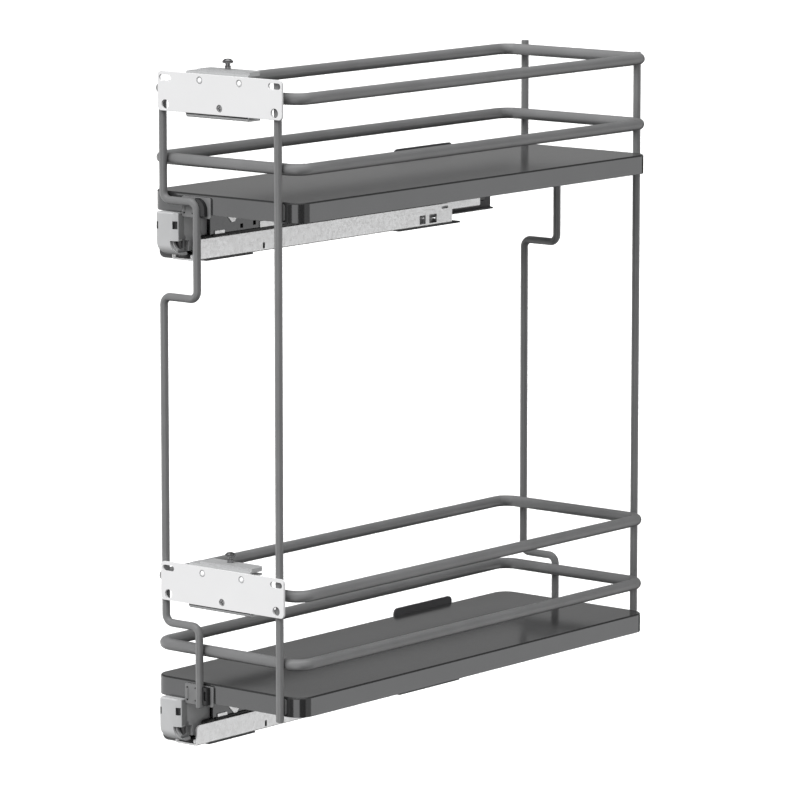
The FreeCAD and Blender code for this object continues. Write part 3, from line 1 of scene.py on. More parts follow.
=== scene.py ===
"""Dressed model of a two-tier pull-out basket for a narrow base cabinet.

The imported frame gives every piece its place. The tubes, wires and trays are made here as smooth
meshes, the folded and moulded pieces are refined copies of their solids, and each gets its finish.
Lengths are in metres, +Z is up, and the basket pulls out along -Y.
"""
import json
import logging
import math
from collections.abc import Callable
from dataclasses import dataclass, field
from enum import Enum

import bmesh
import bpy
from mathutils import Matrix, Vector

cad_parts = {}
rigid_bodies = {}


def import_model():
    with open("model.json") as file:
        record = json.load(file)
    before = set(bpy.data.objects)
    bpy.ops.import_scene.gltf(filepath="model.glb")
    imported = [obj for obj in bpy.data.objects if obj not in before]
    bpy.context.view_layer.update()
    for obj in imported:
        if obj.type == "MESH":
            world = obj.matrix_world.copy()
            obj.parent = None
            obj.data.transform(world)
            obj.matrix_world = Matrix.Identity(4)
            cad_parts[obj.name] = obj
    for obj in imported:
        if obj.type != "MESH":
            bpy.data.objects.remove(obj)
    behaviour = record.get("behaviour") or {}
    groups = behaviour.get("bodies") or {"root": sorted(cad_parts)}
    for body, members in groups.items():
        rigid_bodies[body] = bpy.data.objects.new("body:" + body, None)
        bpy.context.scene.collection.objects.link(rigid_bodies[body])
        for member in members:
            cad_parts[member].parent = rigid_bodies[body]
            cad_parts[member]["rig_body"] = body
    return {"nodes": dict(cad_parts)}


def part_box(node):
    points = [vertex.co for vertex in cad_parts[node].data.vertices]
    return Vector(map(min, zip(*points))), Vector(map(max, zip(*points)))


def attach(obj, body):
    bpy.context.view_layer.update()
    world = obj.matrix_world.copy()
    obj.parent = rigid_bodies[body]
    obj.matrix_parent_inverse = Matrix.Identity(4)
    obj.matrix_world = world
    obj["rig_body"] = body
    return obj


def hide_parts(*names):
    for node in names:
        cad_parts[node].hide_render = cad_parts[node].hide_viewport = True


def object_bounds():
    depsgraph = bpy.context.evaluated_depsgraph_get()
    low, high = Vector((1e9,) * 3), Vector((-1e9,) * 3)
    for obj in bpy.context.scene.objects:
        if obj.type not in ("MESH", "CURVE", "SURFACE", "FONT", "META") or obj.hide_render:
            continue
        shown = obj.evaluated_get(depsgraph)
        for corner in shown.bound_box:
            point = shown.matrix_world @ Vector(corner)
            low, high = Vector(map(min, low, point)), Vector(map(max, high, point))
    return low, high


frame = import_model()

CAD_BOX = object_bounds()
MM = 0.001
LOG = logging.getLogger("pull_out_basket")
X_WAY, Y_WAY, Z_WAY = Vector((1, 0, 0)), Vector((0, 1, 0)), Vector((0, 0, 1))

# Sockets of a Mix node, first for colours and then for numbers
COLOUR_A, COLOUR_B, COLOUR_OUT = 6, 7, 2
NUMBER_A, NUMBER_B = 2, 3

CLOUD_DETAIL = 3.0

# Distances for comparing and merging, and the angles in degrees of flat faces and sharp edges
SMALLEST = 0.001 * MM
WELD = 0.002 * MM
FLAT_ANGLE = 0.6
SOLID_SHARP = 32.0
MOULDING_SHARP = 40.0
TUBE_SHARP = 35.0
DISC_SIDES = 40
RIM_SEGMENTS = 3

Triple = tuple[float, float, float]
Socket = bpy.types.NodeSocket
Reshape = Callable[[bmesh.types.BMesh], None]


class Slot(Enum):
    """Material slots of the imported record."""

    ANTHRACITE = "anthracite_coat"
    DARK = "dark_coat"
    WHITE = "white_coat"
    GALVANISED = "galvanised"
    ZINC = "zinc_steel"
    LIGHT_PLASTIC = "light_plastic"
    BLACK_PLASTIC = "black_plastic"


class Tier(Enum):
    """The two tiers, by the word that starts their pieces' names."""

    LOWER = "lower"
    UPPER = "upper"


class Graph:
    """A material's or world's node tree, built node by node."""

    def __init__(self, tree: bpy.types.NodeTree) -> None:
        """Empties the tree.

        Args:
            tree: the node tree to fill.
        """
        self.tree = tree
        tree.nodes.clear()

    def add(self, kind: str, **settings: object) -> bpy.types.Node:
        """Adds a node.

        Args:
            kind: the node's type name without its ShaderNode prefix.
            settings: properties of the node.

        Returns:
            The new node.
        """
        node = self.tree.nodes.new("ShaderNode" + kind)
        for name, value in settings.items():
            setattr(node, name, value)
        return node

    def link(self, start: Socket, end: Socket) -> None:
        """Links an output to an input."""
        self.tree.links.new(start, end)

    def noise(self, at: Socket, grain: float, detail: float = 2.0) -> Socket:
        """Adds a noise texture.

        Args:
            at: the coordinates it reads.
            grain: the size of its grains in metres.
            detail: octaves of detail.

        Returns:
            The texture's value.
        """
        node = self.add("TexNoise")
        node.inputs["Scale"].default_value = 1.0 / grain
        node.inputs["Detail"].default_value = detail
        self.link(at, node.inputs["Vector"])
        return node.outputs["Fac"]

    def spread(self, value: Socket, low: float, high: float, start: float = 0.3,
               stop: float = 0.7) -> Socket:
        """Maps a texture's value to a range.

        Args:
            value: the value to map.
            low: result at start.
            high: result at stop.
            start: value that gives low.
            stop: value that gives high.

        Returns:
            The mapped value.
        """
        node = self.add("MapRange")
        ends = (("From Min", start), ("From Max", stop), ("To Min", low), ("To Max", high))
        for name, number in ends:
            node.inputs[name].default_value = number
        self.link(value, node.inputs["Value"])
        return node.outputs["Result"]

    def between(self, factor: Socket, dark: Triple, light: Triple) -> Socket:
        """Mixes two plain colours by a texture's value.

        Args:
            factor: 0 for dark and 1 for light.
            dark: colour at 0.
            light: colour at 1.

        Returns:
            The mixed colour.
        """
        node = self.add("Mix", data_type="RGBA")
        node.inputs[COLOUR_A].default_value = (*dark, 1.0)
        node.inputs[COLOUR_B].default_value = (*light, 1.0)
        self.link(factor, node.inputs[0])
        return node.outputs[COLOUR_OUT]

    def towards(self, factor: Socket, base: Socket, colour: Triple) -> Socket:
        """Mixes a texture's colour with a plain one.

        Args:
            factor: 0 for the texture's colour and 1 for the plain one.
            base: the texture's colour.
            colour: the plain colour.

        Returns:
            The mixed colour.
        """
        node = self.add("Mix", data_type="RGBA")
        node.inputs[COLOUR_B].default_value = (*colour, 1.0)
        self.link(factor, node.inputs[0])
        self.link(base, node.inputs[COLOUR_A])
        return node.outputs[COLOUR_OUT]

    def bump(self, height: Socket, strength: float, depth: float,
             under: Socket | None = None) -> Socket:
        """Adds a bump.

        Args:
            height: the texture's value.
            strength: how much of the bump shows.
            depth: its height in metres.
            under: a bump that this one lies on.

        Returns:
            The bumped normal.
        """
        node = self.add("Bump")
        node.inputs["Strength"].default_value = strength
        node.inputs["Distance"].default_value = depth
        self.link(height, node.inputs["Height"])
        if under is not None:
            self.link(under, node.inputs["Normal"])
        return node.outputs["Normal"]


def tinted(colour: Triple, factor: float) -> Triple:
    """Returns the colour, lighter or darker by the factor."""
    return tuple(min(1.0, channel * factor) for channel in colour)


@dataclass(frozen=True)
class Finish:
    """A surface finish; its kinds fill in the node tree."""

    name: str
    slot: Slot
    colour: Triple
    rough: float = 0.4
    metal: float = 0.0
    gloss: float = 0.5
    mottle: float = 0.06
    grain: float = 0.4 * MM
    relief: float = 0.02 * MM
    strength: float = 0.3
    cloud_grain: float = 22 * MM
    sheen_grain: float = 3 * MM
    sheen_change: float = 0.1

    def material(self) -> bpy.types.Material:
        """Returns the finish's material, made once."""
        found = bpy.data.materials.get(self.name)
        if found is not None:
            return found
        material = bpy.data.materials.new(self.name)
        material.use_nodes = True
        graph = Graph(material.node_tree)
        shader = graph.add("BsdfPrincipled")
        shader.inputs["Metallic"].default_value = self.metal
        shader.inputs["Specular IOR Level"].default_value = self.gloss
        output = graph.add("OutputMaterial")
        graph.link(shader.outputs["BSDF"], output.inputs["Surface"])
        at = graph.add("TexCoord").outputs["Object"]
        self.fill(graph, shader, at)
        return material

    def shades(self) -> tuple[Triple, Triple]:
        """Returns the darkest and lightest shade of the colour."""
        return tinted(self.colour, 1.0 - self.mottle), tinted(self.colour, 1.0 + self.mottle)

    def clouded(self, graph: Graph, at: Socket) -> Socket:
        """Returns the colour with a soft mottle."""
        cloud = graph.spread(graph.noise(at, self.cloud_grain, CLOUD_DETAIL), 0.0, 1.0)
        return graph.between(cloud, *self.shades())

    def sheen(self, graph: Graph, at: Socket) -> Socket:
        """Returns a roughness that is a little uneven."""
        low, high = self.rough * (1.0 - self.sheen_change), self.rough * (1.0 + self.sheen_change)
        return graph.spread(graph.noise(at, self.sheen_grain), low, high)

    def fill(self, graph: Graph, shader: bpy.types.Node, at: Socket) -> None:
        """Adds a soft mottle, a fine grain and an uneven sheen.

        Args:
            graph: the material's tree.
            shader: its shader.
            at: the piece's own coordinates.
        """
        graph.link(self.clouded(graph, at), shader.inputs["Base Color"])
        graph.link(self.sheen(graph, at), shader.inputs["Roughness"])
        fine = graph.noise(at, self.grain)
        graph.link(graph.bump(fine, self.strength, self.relief), shader.inputs["Normal"])


@dataclass(frozen=True)
class PowderCoat(Finish):
    """Powder coat: a fine orange peel under a satin skin, with lighter specks."""

    cloud_grain: float = 30 * MM
    sheen_grain: float = 2 * MM
    sheen_change: float = 0.08
    specks: float = 0.12
    speck_grain: float = 0.35 * MM
    speck_light: float = 2.4
    speck_range: tuple[float, float] = (0.58, 0.78)
    peel_grain: float = 1.1 * MM
    fine_strength: float = 0.6
    fine_relief: float = 0.5

    def fill(self, graph: Graph, shader: bpy.types.Node, at: Socket) -> None:
        """Adds the peel, the specks and a slightly uneven sheen.

        Args:
            graph: the material's tree.
            shader: its shader.
            at: the piece's own coordinates.
        """
        grains = graph.noise(at, self.speck_grain, 1.0)
        speck = graph.spread(grains, 0.0, self.specks, *self.speck_range)
        light = tinted(self.colour, self.speck_light)
        base = graph.towards(speck, self.clouded(graph, at), light)
        graph.link(base, shader.inputs["Base Color"])
        graph.link(self.sheen(graph, at), shader.inputs["Roughness"])
        peel = graph.bump(graph.noise(at, self.peel_grain, 1.0), self.strength, self.relief)
        fine = graph.bump(graph.noise(at, self.grain), self.strength * self.fine_strength,
                          self.relief * self.fine_relief, peel)
        graph.link(fine, shader.inputs["Normal"])


@dataclass(frozen=True)
class ZincSheet(Finish):
    """Galvanised sheet: a fine spangle, darker specks and draw marks along the rail."""

    spangle: float = 2.2 * MM
    dull: float = 0.74
    dull_grain: float = 1.3 * MM
    dull_share: float = 0.55
    dull_range: tuple[float, float] = (0.55, 0.72)
    rough_range: tuple[float, float] = (0.8, 1.25)
    stretch: float = 0.03
    flake_strength: float = 0.15
    flake_relief: float = 0.01 * MM

    def fill(self, graph: Graph, shader: bpy.types.Node, at: Socket) -> None:
        """Adds the spangle, the specks and the draw marks.

        Args:
            graph: the material's tree.
            shader: its shader.
            at: the piece's own coordinates.
        """
        cells = graph.add("TexVoronoi", feature="F1")
        cells.inputs["Scale"].default_value = 1.0 / self.spangle
        graph.link(at, cells.inputs["Vector"])
        split = graph.add("SeparateColor")
        graph.link(cells.outputs["Color"], split.inputs["Color"])
        flake = split.outputs[0]
        grains = graph.noise(at, self.dull_grain, CLOUD_DETAIL)
        specks = graph.spread(grains, 0.0, self.dull_share, *self.dull_range)
        base = graph.between(flake, *self.shades())
        dulled = graph.towards(specks, base, tinted(self.colour, self.dull))
        graph.link(dulled, shader.inputs["Base Color"])
        low, high = (self.rough * share for share in self.rough_range)
        graph.link(graph.spread(flake, low, high, 0.0, 1.0), shader.inputs["Roughness"])
        drawn = graph.add("Mapping")
        drawn.inputs["Scale"].default_value = (1.0, self.stretch, 1.0)
        graph.link(at, drawn.inputs["Vector"])
        marks = graph.noise(drawn.outputs["Vector"], self.grain)
        lines = graph.bump(marks, self.strength, self.relief)
        flakes = graph.bump(flake, self.flake_strength, self.flake_relief, lines)
        graph.link(flakes, shader.inputs["Normal"])


FINE_COAT = PowderCoat("anthracite_powder_coat", Slot.ANTHRACITE, (0.195, 0.196, 0.198),
                       rough=0.36, metal=0.2, relief=0.012 * MM, strength=0.25)
TRAY_COAT = PowderCoat("anthracite_tray_lacquer", Slot.ANTHRACITE, (0.152, 0.153, 0.155),
                       rough=0.15, metal=0.85, mottle=0.02, specks=0.03, relief=0.003 * MM,
                       strength=0.08)
DARK_COAT = PowderCoat("dark_plate_coat", Slot.DARK, (0.075, 0.075, 0.078), rough=0.5, gloss=0.4)
CARRIER_COAT = PowderCoat("carrier_lacquer", Slot.DARK, (0.14, 0.141, 0.143), rough=0.25,
                          metal=0.85, mottle=0.03, specks=0.04, relief=0.004 * MM, strength=0.1)
WHITE_COAT = PowderCoat("white_plate_coat", Slot.WHITE, (0.67, 0.67, 0.675), rough=0.35,
                        gloss=0.45, mottle=0.012, specks=0.0, relief=0.008 * MM, strength=0.2)
PIN_COAT = PowderCoat("bright_pin_coat", Slot.WHITE, (0.86, 0.86, 0.865), rough=0.3,
                      mottle=0.01, specks=0.0, relief=0.004 * MM, strength=0.1)
GALVANISED = ZincSheet("galvanised_sheet", Slot.GALVANISED, (0.94, 0.945, 0.95), rough=0.36,
                       metal=0.85, mottle=0.09, relief=0.01 * MM, strength=0.25)
ZINC_PLATE = ZincSheet("zinc_plated_steel", Slot.ZINC, (0.5, 0.505, 0.51), rough=0.42,
                       metal=0.4, mottle=0.05, spangle=0.8 * MM, relief=0.006 * MM,
                       strength=0.2)
SCREW_STEEL = Finish("screw_steel", Slot.ZINC, (0.34, 0.34, 0.345), rough=0.2, metal=0.9,
                     mottle=0.03, relief=0.003 * MM, strength=0.15)
LIGHT_PLASTIC = Finish("light_grey_moulding", Slot.LIGHT_PLASTIC, (0.43, 0.434, 0.438),
                       rough=0.45, grain=0.25 * MM, mottle=0.03)
GREY_PLASTIC = Finish("dark_grey_moulding", Slot.LIGHT_PLASTIC, (0.23, 0.232, 0.235),
                      rough=0.45, grain=0.25 * MM, mottle=0.03)
DARK_PLASTIC = Finish("charcoal_moulding", Slot.BLACK_PLASTIC, (0.05, 0.05, 0.052),
                      rough=0.35, grain=0.3 * MM, mottle=0.08)
BLACK_PLASTIC = Finish("black_moulding", Slot.BLACK_PLASTIC, (0.012, 0.012, 0.013),
                       rough=0.22, gloss=0.6, grain=0.5 * MM, relief=0.005 * MM, mottle=0.15)


def shown(mesh: bpy.types.Mesh, name: str, finish: Finish, body: str,
          nodes: tuple[str, ...]) -> bpy.types.Object:
    """Links a mesh as a finished piece.

    Args:
        mesh: the piece's mesh, in its place.
        name: the piece's name.
        finish: its finish.
        body: the body it moves with.
        nodes: the solids it stands for.

    Returns:
        The piece.
    """
    piece = bpy.data.objects.new(name, mesh)
    bpy.context.scene.collection.objects.link(piece)
    mesh.materials.clear()
    mesh.materials.append(finish.material())
    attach(piece, body)
    if nodes:
        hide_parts(*nodes)
    LOG.info("%s: %d faces, %s", name, len(mesh.polygons), finish.name)
    return piece


def body_of(node: str) -> str:
    """Returns the name of the body that carries a solid."""
    return frame["nodes"][node]["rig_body"]


def new_verts(made: list) -> list[bmesh.types.BMVert]:
    """Returns the corners among what a mesh operator made."""
    return [item for item in made if isinstance(item, bmesh.types.BMVert)]


def new_edges(made: list) -> list[bmesh.types.BMEdge]:
    """Returns the edges among what a mesh operator made."""
    return [item for item in made if isinstance(item, bmesh.types.BMEdge)]


def smooth_mesh(work: bmesh.types.BMesh, name: str) -> bpy.types.Mesh:
    """Turns a working mesh into a smooth one.

    Args:
        work: the working mesh, which is freed.
        name: the new mesh's name.

    Returns:
        The mesh.
    """
    bmesh.ops.recalc_face_normals(work, faces=work.faces)
    for face in work.faces:
        face.smooth = True
    mesh = bpy.data.meshes.new(name)
    work.to_mesh(mesh)
    work.free()
    return mesh


@dataclass(frozen=True)
class SolidCopy:
    """A refined copy of a solid: merged, with flat faces joined and edges rounded.

    Attributes:
        suffix: the solid's name after its tier's word.
        edge: width of the rounded edges in metres, or 0 for none.
        segments: faces across an edge.
    """

    suffix: str
    finish: Finish
    edge: float
    segments: int = 2

    def build(self, word: str, reshape: Reshape | None = None) -> bpy.types.Object:
        """Makes the copy in its solid's place.

        Args:
            word: what the tier's names start with.
            reshape: a change to make to the merged mesh.

        Returns:
            The piece.
        """
        node = word + self.suffix
        mesh = frame["nodes"][node].data.copy()
        mesh.name = node + "_shape"
        work = bmesh.new()
        work.from_mesh(mesh)
        bmesh.ops.remove_doubles(work, verts=work.verts, dist=WELD)
        bmesh.ops.dissolve_limit(work, angle_limit=math.radians(FLAT_ANGLE), verts=work.verts,
                                 edges=work.edges, use_dissolve_boundaries=False, delimit=set())
        if reshape is not None:
            reshape(work)
        for face in work.faces:
            face.smooth = True
        work.to_mesh(mesh)
        work.free()
        mesh.set_sharp_from_angle(angle=math.radians(SOLID_SHARP))
        piece = shown(mesh, node + "_made", self.finish, body_of(node), (node,))
        if self.edge > 0.0:
            self.soften(piece)
        return piece

    def soften(self, piece: bpy.types.Object) -> None:
        """Rounds the copy's sharp edges.

        Args:
            piece: the copy.
        """
        bevel = piece.modifiers.new("soft_edges", "BEVEL")
        bevel.width = self.edge
        bevel.segments = self.segments
        bevel.profile = 0.5
        bevel.limit_method = "ANGLE"
        bevel.angle_limit = math.radians(SOLID_SHARP)
        bevel.harden_normals = True
        bevel.use_clamp_overlap = True


def cut_off(work: bmesh.types.BMesh, at: Vector, out: Vector) -> None:
    """Cuts away what lies beyond a plane and closes the cut.

    Args:
        work: the mesh.
        at: a point of the plane.
        out: the way that is cut away.
    """
    cut = bmesh.ops.bisect_plane(work, geom=[*work.verts, *work.edges, *work.faces],
                                 dist=SMALLEST, plane_co=at, plane_no=out, clear_outer=True)
    bmesh.ops.contextual_create(work, geom=new_edges(cut["geom_cut"]))


def finished(work: bmesh.types.BMesh, name: str, finish: Finish, body: str) -> bpy.types.Object:
    """Turns a small moulding's mesh into a smooth piece.

    Args:
        work: its mesh, which is freed.
        name: its name.
        finish: its finish.
        body: the body it moves with.

    Returns:
        The piece.
    """
    mesh = smooth_mesh(work, name + "_shape")
    mesh.set_sharp_from_angle(angle=math.radians(MOULDING_SHARP))
    return shown(mesh, name, finish, body, ())


def disc(work: bmesh.types.BMesh, at: Vector, radius: float, depth: float,
         round_off: float) -> None:
    """Adds a round pin that points along Y, with a rounded rim.

    Args:
        work: the mesh to add it to.
        at: its middle.
        radius: its radius.
        depth: its length.
        round_off: radius of its rim.
    """
    place = Matrix.Translation(at) @ Matrix.Rotation(math.pi / 2, 4, "X")
    made = bmesh.ops.create_cone(work, cap_ends=True, segments=DISC_SIDES, radius1=radius,
                                 radius2=radius, depth=depth, matrix=place)["verts"]
    rims = [edge for edge in {item for vert in made for item in vert.link_edges}
            if abs(edge.verts[0].co.y - edge.verts[1].co.y) < depth / 2]
    bmesh.ops.bevel(work, geom=rims, offset=round_off, offset_type="OFFSET",
                    segments=RIM_SEGMENTS, profile=0.5, affect="EDGES", material=-1,
                    clamp_overlap=True)


@dataclass(frozen=True)
class Block:
    """A small block with rounded edges, in millimetres from a place on its body.

    Attributes:
        low, high: its lowest and highest corner.
        edge: radius of its edges.
        slant: how far it goes back along Y for each unit along X.
    """

    suffix: str
    finish: Finish
    low: Triple
    high: Triple
    edge: float
    slant: float = 0.0

    def build(self, word: str, body: str, at: Vector) -> bpy.types.Object:
        """Makes the block.

        Args:
            word: what the tier's names start with.
            body: the body it moves with.
            at: the place that its corners are given from.

        Returns:
            The piece.
        """
        low, high = Vector(self.low) * MM, Vector(self.high) * MM
        size = high - low
        place = Matrix.Translation(at + (low + high) / 2)
        work = bmesh.new()
        bmesh.ops.create_cube(work, size=1.0, matrix=place @ Matrix.Diagonal((*size, 1.0)))
        bmesh.ops.bevel(work, geom=list(work.edges), offset=self.edge * MM, offset_type="OFFSET",
                        segments=RIM_SEGMENTS, profile=0.5, affect="EDGES", material=-1,
                        clamp_overlap=True)
        for vert in work.verts:
            vert.co.y += self.slant * (vert.co.x - at.x - low.x)
        return finished(work, word + self.suffix, self.finish, body)


@dataclass
class TubeRun:
    """A round bar or tube drawn along straight runs and bends."""

    radius: float
    sides: int = 32
    bend_steps: int = 14
    weld: float = 0.01 * MM
    work: bmesh.types.BMesh = field(init=False)
    rim: list = field(init=False)
    at: Vector = field(init=False)
    way: Vector = field(init=False)

    def start(self, at: Vector, way: Vector) -> None:
        """Places the first circle.

        Args:
            at: its centre.
            way: the way the tube leaves it.
        """
        self.work = bmesh.new()
        turn = way.to_track_quat("Z", "Y").to_matrix().to_4x4()
        made = bmesh.ops.create_circle(self.work, cap_ends=False, segments=self.sides,
                                       radius=self.radius, matrix=Matrix.Translation(at) @ turn)
        self.rim = list({edge for vert in made["verts"] for edge in vert.link_edges})
        self.at = at.copy()
        self.way = way.normalized()

    def drawn(self, length: float) -> tuple[list[bmesh.types.BMVert], list[bmesh.types.BMEdge]]:
        """Draws the rim on by a length.

        Args:
            length: how far.

        Returns:
            The new rim's corners and edges.
        """
        made = bmesh.ops.extrude_edge_only(self.work, edges=self.rim)["geom"]
        verts = new_verts(made)
        bmesh.ops.translate(self.work, verts=verts, vec=self.way * length)
        rim = [edge for edge in new_edges(made) if all(vert in verts for vert in edge.verts)]
        return verts, rim

    def run(self, length: float) -> None:
        """Draws the tube straight on by a length."""
        self.rim = self.drawn(length)[1]
        self.at += self.way * length

    def bend(self, radius: float, onto: Vector) -> None:
        """Bends the tube a quarter turn.

        Args:
            radius: centre line radius of the bend.
            onto: the way the tube goes on.
        """
        onto = onto.normalized()
        centre = self.at + onto * radius
        axis = self.way.cross(onto)
        verts = {vert for edge in self.rim for vert in edge.verts}
        made = bmesh.ops.spin(self.work, geom=self.rim + list(verts), cent=centre, axis=axis,
                              angle=math.pi / 2, steps=self.bend_steps, use_merge=False)
        self.rim = new_edges(made["geom_last"])
        self.at = centre + self.way * radius
        self.way = onto

    def cap(self, edge: float) -> None:
        """Closes the present end with a small chamfer.

        Args:
            edge: size of the chamfer.
        """
        verts, loop = self.drawn(edge)
        end = self.at + self.way * edge
        shrink = (self.radius - edge) / self.radius
        for vert in verts:
            vert.co = end + (vert.co - end) * shrink
        bmesh.ops.contextual_create(self.work, geom=loop)

    def mesh(self, name: str) -> bpy.types.Mesh:
        """Closes the shape and returns its mesh, smooth but for its cut ends."""
        bmesh.ops.remove_doubles(self.work, verts=self.work.verts, dist=self.weld)
        made = smooth_mesh(self.work, name)
        made.set_sharp_from_angle(angle=math.radians(TUBE_SHARP))
        return made


@dataclass
class Ring:
    """Closed ring of round tube round the goods."""

    node: str
    tube: float = 9.6 * MM
    bend: float = 13.0 * MM
    sides: int = 36
    bend_steps: int = 16

    def build(self) -> bpy.types.Object:
        """Draws the ring in its solid's place and returns it."""
        low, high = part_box(self.node)
        half = self.tube / 2
        tube = TubeRun(half, self.sides, self.bend_steps)
        across = high.x - low.x - self.tube - 2 * self.bend
        along = high.y - low.y - self.tube - 2 * self.bend
        corner = Vector((low.x + half + self.bend, low.y + half, (low.z + high.z) / 2))
        tube.start(corner, X_WAY)
        for length, onto in ((across, Y_WAY), (along, -X_WAY), (across, -Y_WAY), (along, X_WAY)):
            tube.run(length)
            tube.bend(self.bend, onto)
        mesh = tube.mesh(self.node + "_tube")
        return shown(mesh, self.node + "_made", FINE_COAT, body_of(self.node), (self.node,))


@dataclass
class UprightWire:
    """Upright wire that joins both tiers; a left one steps sideways round the runners."""

    node: str
    dia: float = 6.5 * MM
    bend: float = 7.0 * MM
    chamfer: float = 0.6 * MM
    taller: float = 0.0
    sides: int = 28
    bend_steps: int = 10

    def build(self, levels: tuple[float, ...] = ()) -> bpy.types.Object:
        """Draws the wire from its foot to its top.

        Args:
            levels: heights of the sideways steps, from the lowest, each to the other side.

        Returns:
            The piece.
        """
        low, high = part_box(self.node)
        half = self.dia / 2
        tube = TubeRun(half, self.sides, self.bend_steps)
        foot = Vector((high.x - half, (low.y + high.y) / 2, low.z)) + Z_WAY * self.chamfer
        step = high.x - low.x - self.dia
        tube.start(foot, -Z_WAY)
        tube.cap(self.chamfer)
        tube.rim = [edge for edge in tube.work.edges if edge.is_boundary]
        tube.at, tube.way = foot.copy(), Z_WAY.copy()
        side = -X_WAY
        for level in levels:
            tube.run(level - self.bend - tube.at.z)
            tube.bend(self.bend, side)
            tube.run(step - 2 * self.bend)
            tube.bend(self.bend, Z_WAY)
            side = -side
        tube.run(high.z + self.taller - self.chamfer - tube.at.z)
        tube.cap(self.chamfer)
        mesh = tube.mesh(self.node + "_bar")
        return shown(mesh, self.node + "_made", FINE_COAT, body_of(self.node), (self.node,))


@dataclass
class Tray:
    """Tray folded from one sheet: a flat top with a side folded down all round."""

    node: str
    wall: float = 1.5 * MM
    corner: float = 14.0 * MM
    corner_segments: int = 24
    edge_round: float = 1.5 * MM
    edge_segments: int = 6
    foot_round: float = 0.4 * MM
    foot_segments: int = 3
    fold_angle: float = 60.0
    weld: float = 0.005 * MM

    def build(self) -> bpy.types.Object:
        """Folds the tray in its solid's place and returns it."""
        low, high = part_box(self.node)
        size, centre = high - low, (high + low) / 2
        work = bmesh.new()
        place = Matrix.Translation(centre) @ Matrix.Diagonal((size.x, size.y, size.z, 1.0))
        bmesh.ops.create_cube(work, size=1.0, matrix=place)
        upright = [edge for edge in work.edges
                   if abs(edge.verts[0].co.z - edge.verts[1].co.z) > size.z / 2]
        self.rounded(work, upright, self.corner, self.corner_segments)
        under = min(work.faces, key=lambda face: face.calc_center_median().z)
        bmesh.ops.inset_region(work, faces=[under], thickness=self.wall, use_even_offset=True)
        raised = bmesh.ops.extrude_face_region(work, geom=[under])["geom"]
        bmesh.ops.translate(work, verts=new_verts(raised), vec=Z_WAY * (size.z - self.wall))
        bmesh.ops.delete(work, geom=[under], context="FACES_ONLY")
        for level, radius, segments in ((high.z, self.edge_round, self.edge_segments),
                                        (low.z, self.foot_round, self.foot_segments)):
            self.rounded(work, self.folds_at(work, level), radius, segments)
        bmesh.ops.remove_doubles(work, verts=work.verts, dist=self.weld)
        mesh = smooth_mesh(work, self.node + "_folding")
        piece = shown(mesh, self.node + "_made", TRAY_COAT, body_of(self.node), (self.node,))
        weighted = piece.modifiers.new("flat_faces", "WEIGHTED_NORMAL")
        weighted.keep_sharp = True
        return piece

    def folds_at(self, work: bmesh.types.BMesh, level: float) -> list[bmesh.types.BMEdge]:
        """Finds the sharp edges that lie at a level.

        Args:
            work: the tray's mesh.
            level: height of the edges.

        Returns:
            The edges.
        """
        edges = []
        for edge in work.edges:
            flat = all(abs(vert.co.z - level) < SMALLEST for vert in edge.verts)
            if flat and len(edge.link_faces) == 2:
                if edge.calc_face_angle(0.0) > math.radians(self.fold_angle):
                    edges.append(edge)
        return edges

    def rounded(self, work: bmesh.types.BMesh, edges: list[bmesh.types.BMEdge], radius: float,
                segments: int) -> None:
        """Rounds some edges.

        Args:
            work: the tray's mesh.
            edges: the edges.
            radius: radius of the rounding.
            segments: faces across it.
        """
        bmesh.ops.bevel(work, geom=edges, offset=radius, offset_type="OFFSET", segments=segments,
                        profile=0.5, affect="EDGES", material=-1, clamp_overlap=True)


